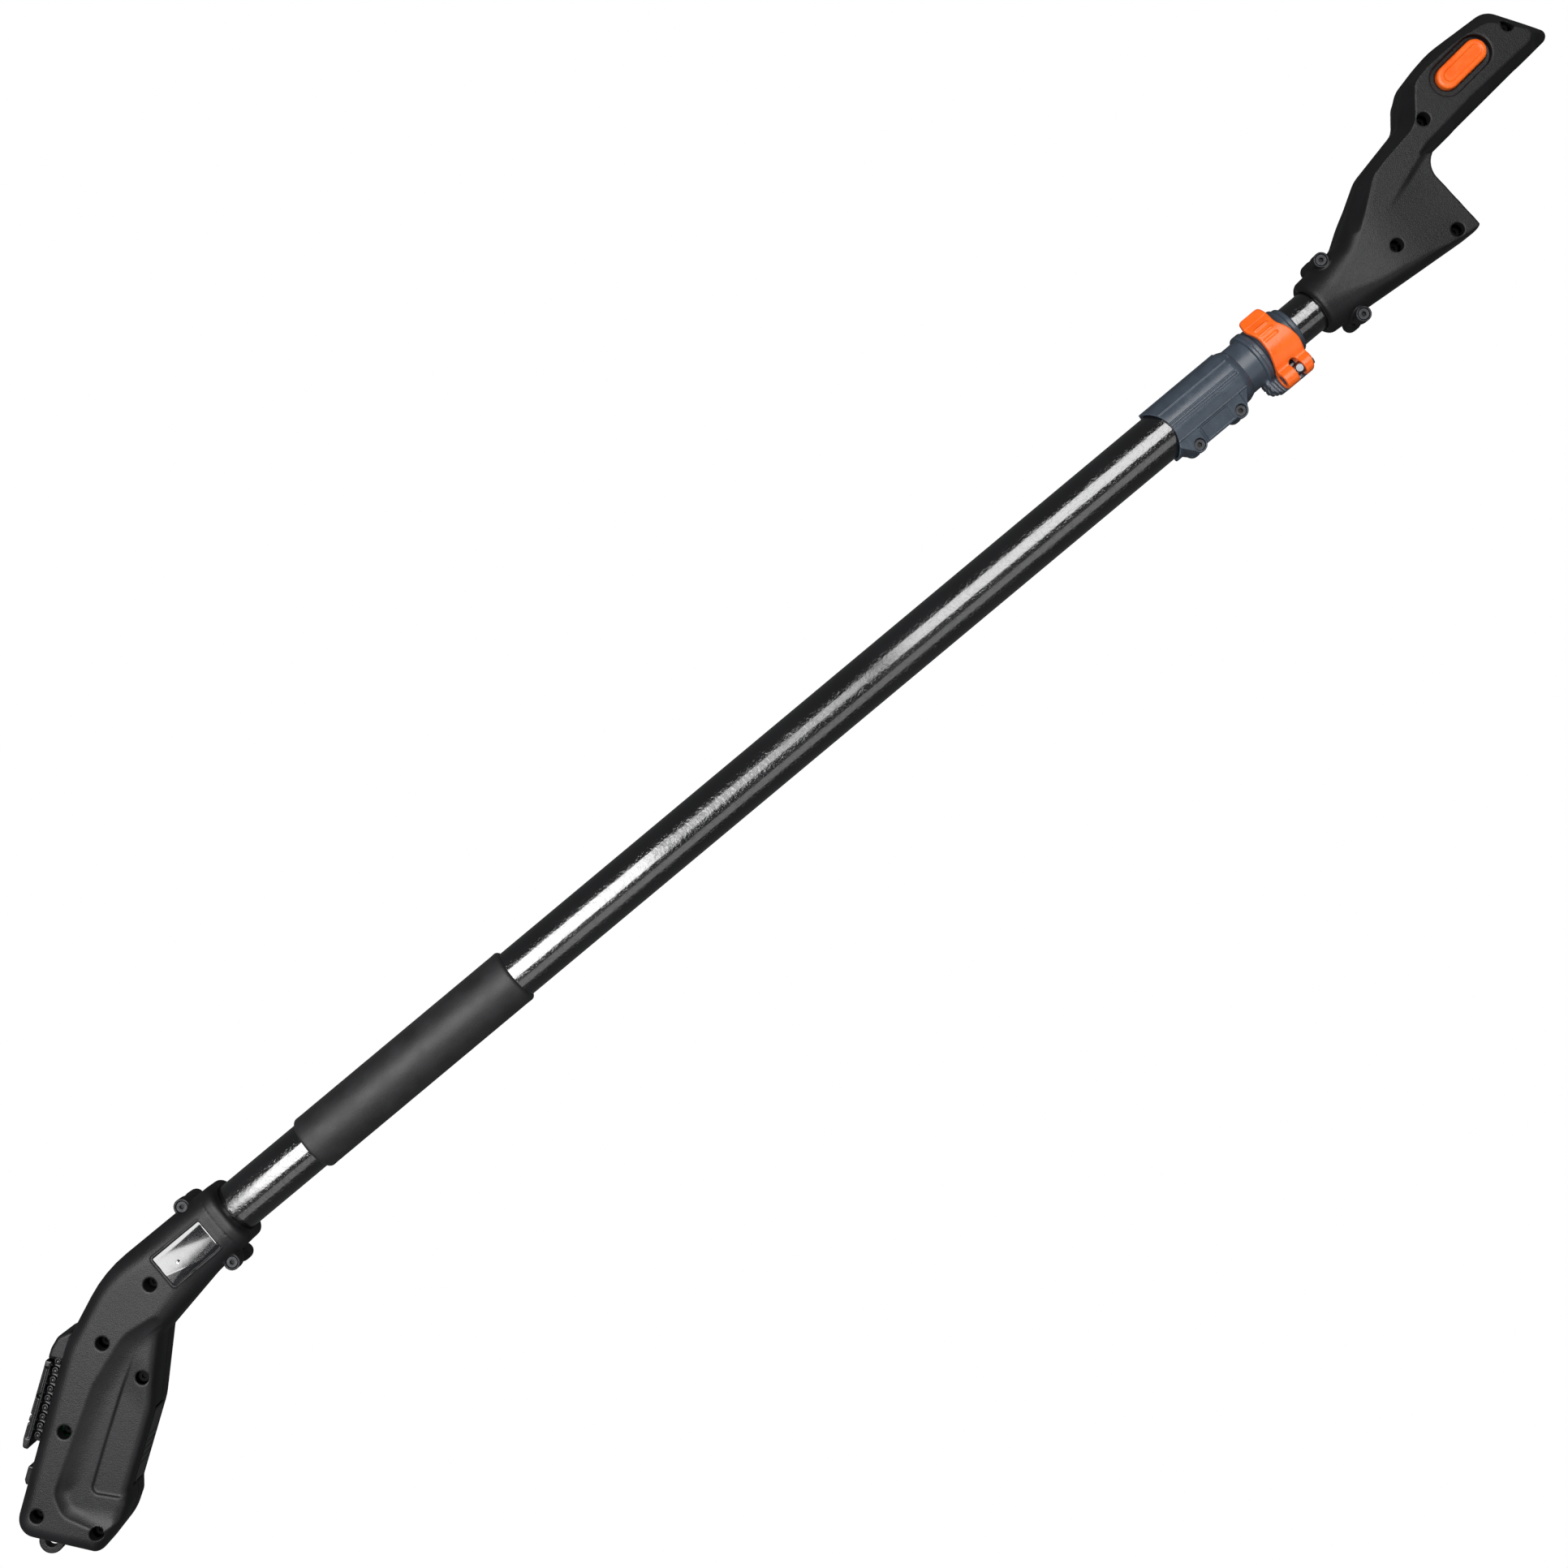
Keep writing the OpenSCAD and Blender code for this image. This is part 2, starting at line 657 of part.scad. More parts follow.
module saw_terminals()
    color("#b08a3c") on_arm(dock_recess_at) for (z = [-9, -3, 3, 9])
        block(-14, 22, 0.6, 4.8, z - 0.4, z + 0.4);

module head_lead() {
    elbow = 0.75 * lead_r;
    color("#202022") union() {
        for (i = [0:2]) let (p = HEAD_LEAD[i], d = HEAD_LEAD[i + 1] - p)
            translate([p[0], p[1], 0]) rotate([0, 0, atan2(d[1], d[0])])
                rod_x(i == 0 ? 0 : elbow, norm(d) - (i == 2 ? 0 : elbow), lead_r);
        for (i = [1, 2]) translate([HEAD_LEAD[i][0], HEAD_LEAD[i][1], 0])
            sphere(r = norm([elbow, lead_r]) + 0.2);
    }
}

module latch_plate()
    color("#34353a") on_arm(button_at) difference() {
        oval(button_l + 2, button_w + 2, plate_half);
        translate([0, 0, -cut]) cylinder(h = 9, r = 1.4);
    }

// A release button, its rim behind the wall, and the hook that lets the saw go
module release_button()
    color("#f2671f") on_arm(button_at) difference() {
        union() {
            translate([0, 0, rim_z]) oval(button_l + 4, button_w + 3, rim_h);
            translate([0, 0, rim_z]) oval(button_l, button_w, button_top - rim_z);
        }
        translate([0, 0, rim_z - cut]) cylinder(h = 4.4, r = 4.4);
        translate([1, 0, button_top - 0.8]) oval(button_l - 12, button_w - 8, 3);
    }
module release_button_near() release_button();
module release_button_far() far_side() release_button();

module button_spring()
    color("#8d9095") on_arm(button_at) translate([0, 0, plate_half + 0.05]) difference() {
        cylinder(h = rim_z + 3.2 - plate_half, r = 4);
        translate([0, 0, -cut]) cylinder(h = 40, r = 2.8);
    }
module button_spring_near() button_spring();
module button_spring_far() far_side() button_spring();

place() outer_tube();
place() foam_grip();
place() rear_housing_near();
place() rear_housing_far();
place() rear_housing_screws();
place() rear_clamp_screws();
place() rear_clamp_nuts();
place() label_panel();
place() battery_rail();
place() battery_terminal_block();
place() battery_terminals();
place() battery_hood();
place() latch_keeper();
place() hanging_loop();
place() control_board();
place() trigger_switch();
place() trigger_paddle();
place() trigger_pin();
place() trigger_spring();
place() rear_tube_plug();
place() coiled_lead();
place() collar_near();
place() collar_far();
place() collar_screws();
place() collar_nuts();
place() lock_sleeve();
place() cam_lever();
place() lever_barrel_pin();
place() lever_bolt();
place() lever_nut();
place() cam_shoe();
place() inner_tube();
place() guide_bush();
place() head_near();
place() head_far();
place() head_screws();
place() head_clamp_screws();
place() head_clamp_nuts();
place() saw_connector();
place() saw_terminals();
place() head_lead();
place() latch_plate();
place() release_button_near();
place() release_button_far();
place() button_spring_near();
place() button_spring_far();
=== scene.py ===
"""A telescoping pole with a battery grip at one end and a saw dock at the other.

Shapes are written in millimetres in the pole's own frame: x runs along the pole from the mouth of the
rear grip, y is across it and z is up from the parting plane of the moulded halves.
"""
import math

import bpy
import numpy as np
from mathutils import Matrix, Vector


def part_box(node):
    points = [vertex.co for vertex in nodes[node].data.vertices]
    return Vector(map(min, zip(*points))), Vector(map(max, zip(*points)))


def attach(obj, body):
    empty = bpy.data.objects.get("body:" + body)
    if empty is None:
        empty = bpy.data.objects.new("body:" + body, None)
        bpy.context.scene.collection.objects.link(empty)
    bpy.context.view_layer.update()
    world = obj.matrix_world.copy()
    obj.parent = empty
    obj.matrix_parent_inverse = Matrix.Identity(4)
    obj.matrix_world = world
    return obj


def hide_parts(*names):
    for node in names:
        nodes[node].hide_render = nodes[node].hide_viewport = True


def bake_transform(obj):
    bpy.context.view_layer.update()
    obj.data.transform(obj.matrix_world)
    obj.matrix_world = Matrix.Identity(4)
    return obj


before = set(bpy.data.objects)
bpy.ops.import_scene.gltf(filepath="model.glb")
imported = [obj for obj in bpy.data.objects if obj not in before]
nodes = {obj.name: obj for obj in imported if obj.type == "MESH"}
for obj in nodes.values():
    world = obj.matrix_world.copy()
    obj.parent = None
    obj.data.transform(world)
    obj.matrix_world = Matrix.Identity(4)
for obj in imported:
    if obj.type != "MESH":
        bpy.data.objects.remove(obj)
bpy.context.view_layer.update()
scene = bpy.context.scene

# ---------------------------------------------------------------- the pole's frame

MM = 0.001
OUTER_END = 860.0
tube_low, tube_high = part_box("outer_tube")
AXIS = (tube_low + tube_high) / 2
AXIS.x = tube_high.x - OUTER_END * MM


def place(x, y, z):
    """A point of the pole's frame, in metres in the shared frame."""
    return AXIS + Vector((x, y, z)) * MM


# ---------------------------------------------------------------- camera

VIEW_CENTRE = (467.4, -17.2)
VIEW_HEIGHT = 1293.0
POLE_SLOPE = 39.82


def make_camera():
    data = bpy.data.cameras.new("camera")
    data.sensor_width = 36
    data.lens = 43.92
    data.clip_end = 50
    camera = bpy.data.objects.new("camera", data)
    camera.location = place(VIEW_CENTRE[0], VIEW_CENTRE[1], VIEW_HEIGHT)
    camera.rotation_euler = (0, 0, -math.radians(POLE_SLOPE))
    scene.collection.objects.link(camera)
    scene.camera = camera


make_camera()

# ---------------------------------------------------------------- fields: below zero inside a solid


def meet(*fields):
    out = fields[0]
    for f in fields[1:]:
        out = np.maximum(out, f)
    return out


def join(*fields):
    out = fields[0]
    for f in fields[1:]:
        out = np.minimum(out, f)
    return out


def cut(solid, *tools):
    return meet(solid, *[-t for t in tools])


def round_meet(a, b, r):
    return np.minimum(-r, np.maximum(a, b)) + np.hypot(np.maximum(r + a, 0), np.maximum(r + b, 0))


def round_join(a, b, r):
    return -round_meet(-a, -b, r)


def round_cut(solid, tool, r):
    return round_meet(solid, -tool, r)


def between(t, low, high):
    return np.maximum(low - t, t - high)


def blend(t, start, end, low, high):
    """A value that runs smoothly from low, at start, to high, at end."""
    s = np.clip((t - start) / (end - start), 0, 1)
    return low + (high - low) * s * s * (3 - 2 * s)


def post(x, y, at, r):
    return np.hypot(x - at[0], y - at[1]) - r


def rod(y, z, r):
    return np.hypot(y, z) - r


def box(x, y, z, x0, x1, y0, y1, z0, z1):
    return meet(between(x, x0, x1), between(y, y0, y1), between(z, z0, z1))


def oval(s, n, length, width):
    return np.hypot(np.maximum(np.abs(s) - (length - width) / 2, 0), n) - width / 2


def rounded(corners):
    """Points along a closed outline whose corners are (x, y, radius), anticlockwise."""
    count, points = len(corners), []
    for i, (px, py, radius) in enumerate(corners):
        p = np.array((px, py))
        back = p - np.array(corners[i - 1][:2])
        ahead = np.array(corners[(i + 1) % count][:2]) - p
        room = 0.47 * min(np.linalg.norm(back), np.linalg.norm(ahead))
        back, ahead = back / np.linalg.norm(back), ahead / np.linalg.norm(ahead)
        turn = math.atan2(back[0] * ahead[1] - back[1] * ahead[0], back @ ahead)
        reach = min(radius * math.tan(abs(turn) / 2), room)
        r = reach / math.tan(abs(turn) / 2)
        side = math.copysign(1, turn)
        left = np.array((-back[1], back[0]))
        centre = p - reach * back + side * r * left
        steps = max(2, math.ceil(abs(turn) / math.radians(7)))
        for k in range(steps + 1):
            g = turn * k / steps
            c, s = math.cos(g), math.sin(g)
            spoke = np.array((left[0] * c - left[1] * s, left[0] * s + left[1] * c))
            points.append(centre - side * r * spoke)
    return points


def outline(points, x, y):
    """Distance to a closed outline, below zero inside it."""
    best = np.full(np.broadcast_shapes(x.shape, y.shape), 1e9, np.float32)
    inside = np.zeros(best.shape, bool)
    for a, b in zip(points, points[1:] + points[:1]):
        ex, ey = float(b[0] - a[0]), float(b[1] - a[1])
        if ex * ex + ey * ey < 1e-9:
            continue
        wx, wy = x - float(a[0]), y - float(a[1])
        t = np.clip((wx * ex + wy * ey) / (ex * ex + ey * ey), 0, 1)
        best = np.minimum(best, (wx - t * ex) ** 2 + (wy - t * ey) ** 2)
        if ey:
            inside ^= ((a[1] > y) != (b[1] > y)) & (x < a[0] + (y - a[1]) * ex / ey)
    return np.where(inside, -1, 1) * np.sqrt(best)


def shoulder(d, z, reach, base, rise, ease=2.0):
    """A moulded half: a side wall up to base, then a rounded shoulder reach wide and rise high.
    An ease of 2 makes it an ellipse; more makes it leave the flat more gently."""
    q = (np.maximum(d + reach, 0) / reach) ** (ease / 2)
    w = np.maximum(z - base, 0) / rise
    curved = (np.hypot(q, w) - 1) * np.minimum(reach, rise)
    return np.where((q > 0) & (w > 0), curved, np.maximum(d, z - base - rise))


def along(x, y, at, slope):
    """Coordinates along a slanted wall and to the left of it."""
    c, s = math.cos(math.radians(slope)), math.sin(math.radians(slope))
    return (x - at[0]) * c + (y - at[1]) * s, (y - at[1]) * c - (x - at[0]) * s


def bead(f, d, width, height):
    """Raises a rounded line of the surface f along the outline d."""
    return join(f, meet(f - height, np.abs(d) - width / 2))


def groove(f, d, width, depth):
    return meet(f, join(f + depth, width / 2 - np.abs(d)))


# ---------------------------------------------------------------- from a field to a mesh

EDGE_STARTS = [(0, 0), (1, 0), (0, 1), (1, 1)]


def crossings(f, cell, axis):
    """Where the surface cuts a cell's four edges along one axis, in cell units, with a flag for each."""
    others = [a for a in range(3) if a != axis]
    for start in EDGE_STARTS:
        corner = np.zeros(3, int)
        corner[others] = start
        low = cell + corner
        high = low.copy()
        high[:, axis] += 1
        a, b = f[tuple(low.T)], f[tuple(high.T)]
        hit = (a < 0) != (b < 0)
        point = np.tile(corner.astype(np.float32), (len(cell), 1))
        point[:, axis] = np.where(hit, a / np.where(hit, a - b, 1), 0)
        yield hit, point


def net(f):
    """The surface of a sampled field: one point in each cell that it passes through, joined in fours."""
    solid = f < 0
    corners = solid.astype(np.int8)
    for axis in range(3):
        low = [slice(None)] * 3
        high = [slice(None)] * 3
        low[axis], high[axis] = slice(None, -1), slice(1, None)
        corners = corners[tuple(low)] + corners[tuple(high)]
    cell = np.argwhere((corners > 0) & (corners < 8))
    number = np.full(corners.shape, -1, np.int32)
    number[tuple(cell.T)] = np.arange(len(cell))
    total, count = np.zeros((len(cell), 3), np.float32), np.zeros(len(cell), np.float32)
    for axis in range(3):
        for hit, point in crossings(f, cell, axis):
            total += point * hit[:, None]
            count += hit
    points = cell + total / count[:, None]
    faces = []
    for axis in range(3):
        b, c = (axis + 1) % 3, (axis + 2) % 3
        low = [slice(None)] * 3
        high = [slice(None)] * 3
        low[axis], high[axis] = slice(None, -1), slice(1, None)
        edge = np.argwhere(solid[tuple(low)] != solid[tuple(high)])
        around = []
        for back_b, back_c in ((1, 1), (0, 1), (0, 0), (1, 0)):
            at = edge.copy()
            at[:, b] -= back_b
            at[:, c] -= back_c
            around.append(number[tuple(at.T)])
        quad = np.stack(around, 1)
        outward = solid[tuple(edge.T)]
        faces.append(np.where(outward[:, None], quad, quad[:, ::-1]))
    return points, np.concatenate(faces)


def mesh_object(name, points, quads):
    """A smooth-shaded mesh from points in metres and faces of four corners."""
    mesh = bpy.data.meshes.new(name)
    mesh.vertices.add(len(points))
    mesh.vertices.foreach_set("co", np.asarray(points, np.float32).ravel())
    mesh.loops.add(quads.size)
    mesh.loops.foreach_set("vertex_index", quads.astype(np.int32).ravel())
    mesh.polygons.add(len(quads))
    mesh.polygons.foreach_set("loop_start", np.arange(len(quads), dtype=np.int32) * 4)
    mesh.update(calc_edges=True)
    mesh.validate()
    mesh.shade_smooth()
    obj = bpy.data.objects.new(name, mesh)
    scene.collection.objects.link(obj)
    return obj


def moulding(name, field, low, high, step, mirrored=False):
    """The solid that a field describes between two corners, meshed at the given step."""
    spans = [np.arange(a - 1.63 * step, b + 2.4 * step, step, dtype=np.float32) for a, b in zip(low, high)]
    x, y, z = np.ix_(*spans)
    f = np.broadcast_to(field(x, y, z), [len(s) for s in spans]).astype(np.float32)
    points, quads = net(f)
    points = points * step + np.array([s[0] for s in spans])
    if mirrored:
        points[:, 2] *= -1
        quads = quads[:, ::-1]
    return mesh_object(name, points * MM + np.array(AXIS), quads)


def lathe(name, profile, sides=128):
    """A turned piece about the pole's axis, from a closed profile of (x, radius)."""
    profile = np.array(profile)
    angles = np.arange(sides) * 2 * math.pi / sides
    x = np.repeat(profile[:, 0], sides)
    y = np.outer(profile[:, 1], np.cos(angles)).ravel()
    z = np.outer(profile[:, 1], np.sin(angles)).ravel()
    ring = np.arange(len(profile))[:, None] * sides
    around = np.arange(sides)[None, :]
    ahead = np.roll(np.arange(len(profile)), -1)[:, None] * sides
    turned = (around + 1) % sides
    quads = np.stack([ring + around, ahead + around, ahead + turned, ring + turned], -1).reshape(-1, 4)
    points = np.stack([x, y, z], 1) * MM + np.array(AXIS)
    return mesh_object(name, points, quads)


def wire(name, path, radius, sides=8):
    """A round wire along a path of points in the pole's frame, with closed ends."""
    path = np.array(path, float)
    ahead = np.gradient(path, axis=0)
    ahead /= np.linalg.norm(ahead, axis=1)[:, None]
    side = np.cross(ahead, (0, 0, 1) if abs(ahead[0][2]) < 0.9 else (1, 0, 0))
    side /= np.linalg.norm(side, axis=1)[:, None]
    up = np.cross(side, ahead)
    rings = []
    for k in range(sides):
        g = 2 * math.pi * k / sides
        rings.append(path + radius * (side * math.cos(g) + up * math.sin(g)))
    points = np.stack(rings, 1).reshape(-1, 3)
    ring = np.arange(len(path) - 1)[:, None] * sides
    k = np.arange(sides)[None, :]
    turned = (k + 1) % sides
    quads = np.stack([ring + k, ring + turned, ring + sides + turned, ring + sides + k], -1).reshape(-1, 4)
    caps = []
    for first in (0, (len(path) - 1) * sides):
        for j in range(0, sides - 2, 2):
            caps.append([first, first + j + 1, first + j + 2, first + (j + 3) % sides])
    caps = np.array(caps)
    caps[: len(caps) // 2] = caps[: len(caps) // 2, ::-1]
    points = points * MM + np.array(AXIS)
    return mesh_object(name, points, np.concatenate([quads, caps]))


# ---------------------------------------------------------------- outlines and places

HALF_THICK = 26.0
SIDE_HALF = 9.0
OUTER_R, INNER_R = 17.5, 15.0
SCREW_R, RECESS_R, RECESS_FLOOR = 2.2, 4.5, 12.0
CLAMP_HALF, CLAMP_R = 17.0, 5.6

REAR = rounded([
    (30, 22.9, 2), (0, 22.9, 30), (-91.3, 23.6, 90), (-141, 3, 50), (-248.5, -71.8, 14),
    (-212.5, -119.3, 6), (-187, -113.8, 30), (-175.8, -106.8, 4), (-170, -99.7, 4),
    (-122.9, -68, 40), (-87, -33.8, 5), (-40, -25.6, 60), (0, -22.9, 20), (30, -22.9, 2)])
REAR_CAVITY = rounded([
    (-78, 18, 2), (-94, 18, 40), (-141, -2, 40), (-241, -72, 10), (-213, -112, 4), (-189, -108, 12),
    (-170, -94, 6), (-126, -64, 20), (-92, -31, 3), (-78, -25, 2)])
POCKET = rounded([
    (-60, -34, 3), (-80, -20.5, 12), (-103, -17.2, 30), (-140, -29.5, 40), (-206, -68.5, 13),
    (-211, -84, 14), (-197, -112, 6), (-180, -140, 1), (-60, -70, 1)])
FINGER_WELL = rounded([
    (-84, -22, 10), (-107.7, -31.5, 40), (-127.8, -43.2, 60), (-156.4, -61.6, 60), (-189.5, -83.8, 5),
    (-176, -99.5, 8), (-160, -118, 1), (-60, -66, 1)])
LABEL = rounded([(-16, -14.2, 1.4), (-16, 9.2, 1.4), (-56, 9.2, 1.4), (-56, -14.2, 1.4)])
REAR_SCREWS = [
    (-67.9, -3), (-117.1, -12.7), (-174, -41.7), (-223.9, -72.9), (-201.3, -107.3), (-113.8, -47.2)]
REAR_CLAMPS = [(-22.2, 23.4), (-20, -26.4)]
DOCK_AT, DOCK_SLOPE = (-143.7, 1), 34.8
TRIGGER_AT, TRIGGER_SLOPE, TRIGGER_LEN, TRIGGER_PIVOT = (-170, -99.7), 33.95, 56.8, (49.5, 5.2)
LOOP_AT, LOOP_SLOPE = (-238.6, -93), -53

MOUTH_X = 946.5
HEAD = rounded([
    (1061.5, -29.6, 3), (1058.6, 28.4, 14), (1186.5, 39.7, 5), (1161, 80.6, 14), (1112, 83.2, 60),
    (1086.5, 77.4, 14), (1066, 57.4, 12), (1026.5, 49.2, 22), (983, 23.6, 14), (MOUTH_X, 20.5, 3),
    (920, 20.5, 1), (920, -20.5, 1), (MOUTH_X, -20.5, 3), (983, -23.2, 40)])
HEAD_FACE = rounded([
    (900, -60, 1), (1080, -60, 1), (1080, 24, 1), (1052, 33, 4), (1068, 37.2, 20), (1108, 41.8, 30),
    (1164, 45, 6), (1168, 50, 6), (1149, 72.5, 12), (1126, 75.6, 40), (1099, 74.9, 30), (1086, 72.4, 10),
    (1071, 52.8, 8), (1064, 49.4, 10), (1036, 44.8, 20), (1026, 42.6, 12), (993.3, 17.2, 8), (975, 30, 2),
    (900, 30, 1)])
HEAD_CAVITY = rounded([
    (1056, -24, 3), (1053, 32, 8), (1086, 39, 6), (1172, 46, 4), (1156, 75, 10), (1112, 78, 40),
    (1089, 72, 10), (1068, 52, 8), (1028, 43, 14), (1004, 26, 6), (1004, -20, 3)])
ARM_CREASE = rounded([
    (993.3, 17.2, 4), (1011, 19.8, 20), (1040, 28.3, 30), (1066, 36.8, 20), (1090, 40, 2), (1090, -80, 1),
    (900, -80, 1), (900, -10, 1)])
HEAD_SCREWS = [(1075.1, 49.9), (1008.3, -3), (1046.4, -20.8), (1158.2, 62.4)]
HEAD_CLAMPS = [(966.8, 21.9), (965.7, -24)]
ARM_SLOPE, BUTTON_AT, DISH_AT, SAW_DOCK_AT = 4.8, (1119, 61.9), (1117, 61.4), (1128, 35)
DISH_FLOOR, BUTTON_TOP, BUTTON_L, BUTTON_W = 21.0, 24.8, 40.4, 16.0

COLLAR_START, COLLAR_END, COLLAR_R = 806.0, 880.0, 20.0
COLLAR_SCREWS = [(826.7, -21), (862.5, -21)]
LEVER_IN, LEVER_OUT = 20.9, 24.8
PIVOT_X, PIVOT_Y, PIVOT_Z = 908.2, -24.2, 15.2


# ---------------------------------------------------------------- rear grip


def rear_crown(x, y, z):
    """The grip's crowned face, rounder towards its mouth, with the distance to its outline."""
    d = outline(REAR, x, y)
    reach = blend(x, -100, -30, 13, 18)
    return d, shoulder(d, z, reach, SIDE_HALF, HALF_THICK - SIDE_HALF, 2.4)


def rear_skin(x, y, z):
    """The grip's outer shape: crown, clamp bosses, hand pocket and label seat."""
    d, f = rear_crown(x, y, z)
    f = round_meet(f, x, 3.5)
    for at in REAR_CLAMPS:
        f = round_join(f, round_meet(post(x, y, at, CLAMP_R), z - CLAMP_HALF, 0.8), 1.6)
    label = outline(LABEL, x, y)
    f = bead(f, label - 0.7, 1.3, 0.4)
    f = meet(f, join(f + 0.55, -label))
    f = groove(f, x + 8.2, 0.9, 0.35)
    depth_in = -outline(POCKET, x, y)
    slope = 1 - np.clip(depth_in / blend(x, -186, -204, 15, 8), 0, 1)
    well = blend(-outline(FINGER_WELL, x, y), -0.4, 1.3, 0, 1) * blend(x, -104, -132, 0, 1)
    floor = HALF_THICK - 4.9 * (1 - slope * slope) - 1.7 * well
    pocket = np.where(depth_in > -1, (z - floor) * 0.87 + np.minimum(depth_in, 0) * 0.5, -20)
    return d, round_meet(f, pocket, np.clip(depth_in - 6, 0.5, 3.2))


def rear_half(near):
    def field(x, y, z):
        d, f = rear_skin(x, y, z)
        f = meet(f, (d + 0.5 - z) * 0.7)
        hollow = meet(outline(REAR_CAVITY, x, y), z - 17.9)
        for at in REAR_SCREWS:
            hollow = cut(hollow, post(x, y, at, 4.8))
        s, n = along(x, y, TRIGGER_AT, TRIGGER_SLOPE)
        hollow = cut(hollow, meet(post(s, n, TRIGGER_PIVOT, 4.4), 10.1 - z))
        f = cut(f, meet(hollow, f + 2.2))
        f = cut(f, meet(rod(y, z, OUTER_R + 0.05), -63 - x))
        f = cut(f, meet(rod(y, z, 12), between(x, -84, -60), -post(x, y, REAR_SCREWS[0], 4.8)))
        f = round_cut(f, meet(box(s, n, z, 0.4, TRIGGER_LEN - 0.4, -6, 12, -9, 10.1)), 0.4)
        f = cut(f, meet(post(s, n, TRIGGER_PIVOT, 2.05), z - 15.6))
        s, n = along(x, y, DOCK_AT, 180 + DOCK_SLOPE)
        n = -n
        f = cut(f, box(s, n, z, 3, 65, -4, 8, -9, 13.05), box(s, n, z, -12, 9, -3.4, 14, -9, 16.05),
                box(s, n, z, 84, 97, -3.4, 6, -9, 9.05))
        s, n = along(x, y, LOOP_AT, LOOP_SLOPE)
        f = cut(f, meet(join(post(x, y, LOOP_AT, 9), box(s, n, z, -6.25, 6.25, 5, 13.05, -9, 9)), z - 3.55))
        for at in REAR_SCREWS:
            shaft = post(x, y, at, SCREW_R if near else 1.95)
            f = cut(f, shaft if near else meet(shaft, z - 14))
            if near:
                f = round_cut(f, meet(post(x, y, at, RECESS_R), RECESS_FLOOR - z), 0.55)
        for at in REAR_CLAMPS:
            recess = meet(post(x, y, at, 4), CLAMP_HALF - (5 if near else 3.4) - z)
            f = cut(round_cut(f, recess, 0.4), post(x, y, at, SCREW_R))
        return meet(f, 0.03 - z)

    return field


def label_film(x, y, z):
    """A thin glossy film that follows the crown of the grip and sags a little across it."""
    top = rear_crown(x, y, z)[1]
    sag = 0.3 - np.minimum((y - 2 + 0.3 * (x + 36)) ** 2 / 420, 0.4)
    f = meet(top + sag, -0.6 - sag - top)
    dot = post(x, y, (-43.4, -3.6), 1.15)
    return cut(round_meet(f, outline(LABEL, x, y) + 0.12, 0.15), meet(dot, -0.3 - top))


# ---------------------------------------------------------------- battery dock, loop and trigger


def on_dock(x, y):
    s, n = along(x, y, DOCK_AT, 180 + DOCK_SLOPE)
    return s, -n


RAIL = rounded([(9.4, 4.8, 0.5), (70, 4.8, 0.5), (70, 8.6, 2.6), (64, 9.6, 4), (9.4, 9.0, 0.5)])
HOOD = rounded([(-11.8, -3.2, 0.4), (9, -3.2, 0.4), (9, 9, 1.2), (2, 8.8, 5), (-7, 6.4, 7), (-11.8, 0, 4)])
KEEPER = rounded([(84.2, -3.2, 0.3), (96.9, -3.2, 0.3), (96.9, 2.6, 1), (94, 4, 1.4), (84.2, 4, 1.4)])
PADDLE = rounded([
    (2, 0, 1), (54.2, 0, 1), (54.2, 6, 3.5), (48.8, 9.4, 3), (44, 9.4, 3), (22, 11.4, 4), (4, 8, 3),
    (2, 5, 1)])


def battery_rail(x, y, z):
    s, n = on_dock(x, y)
    f = round_meet(outline(RAIL, s, n), np.abs(z) - 18, 0.7)
    f = round_cut(f, meet(between(s, 14, 63), between(n, 5.9, 7.9), 17.3 - np.abs(z)), 0.3)
    f = round_cut(f, meet(post(s, n, (34, 7.2), 1.5), 14 - np.abs(z)), 0.2)
    for at in (46.5, 51.5):
        f = round_cut(f, meet(between(s, at, at + 1.4), between(n, 8.3, 20)), 0.25)
    return f


def battery_terminal_block(x, y, z):
    s, n = on_dock(x, y)
    f = round_meet(box(s, n, z, 3.2, 64.8, -3.8, 4.8, -13, 13), np.abs(z) - 13, 0.5)
    for i in range(9):
        at = (9 + i * 6.4, 1.9)
        rib = round_meet(post(s, n, at, 2.2), np.abs(z) - 15.2, 0.5)
        f = join(f, rib)
        f = cut(f, meet(post(s, n, at, 1.15), 14.2 - np.abs(z)))
        f = cut(f, meet(between(s, at[0] - 0.5, at[0] + 3), between(n, 1.3, 2.5), 14.4 - np.abs(z)))
    for at in (-8, -2.7, 2.7, 8):
        f = cut(f, box(s, n, z, 20, 68, -5, 2.6, at - 0.8, at + 0.8))
    return f


def battery_hood(x, y, z):
    s, n = on_dock(x, y)
    f = round_meet(outline(HOOD, s, n), np.abs(z) - 16, 3)
    f = cut(f, box(s, n, z, 2.9, 10, -5, 5.1, -15, 15))
    return groove(f, s - 7.4, 0.5, 0.25)


def latch_keeper(x, y, z):
    s, n = on_dock(x, y)
    f = round_meet(outline(KEEPER, s, n), np.abs(z) - 9, 0.8)
    return round_cut(f, box(s, n, z, 87, 94, 1.8, 6, -5, 5), 0.3)


def hanging_loop(x, y, z):
    s, n = along(x, y, LOOP_AT, LOOP_SLOPE)
    f = join(post(x, y, LOOP_AT, 8.6), meet(between(s, -6.2, 6.2), between(n, 5, 13)))
    f = round_meet(f, np.abs(z) - 3.5, 0.9)
    return round_cut(f, post(x, y, LOOP_AT, 4), 0.7)


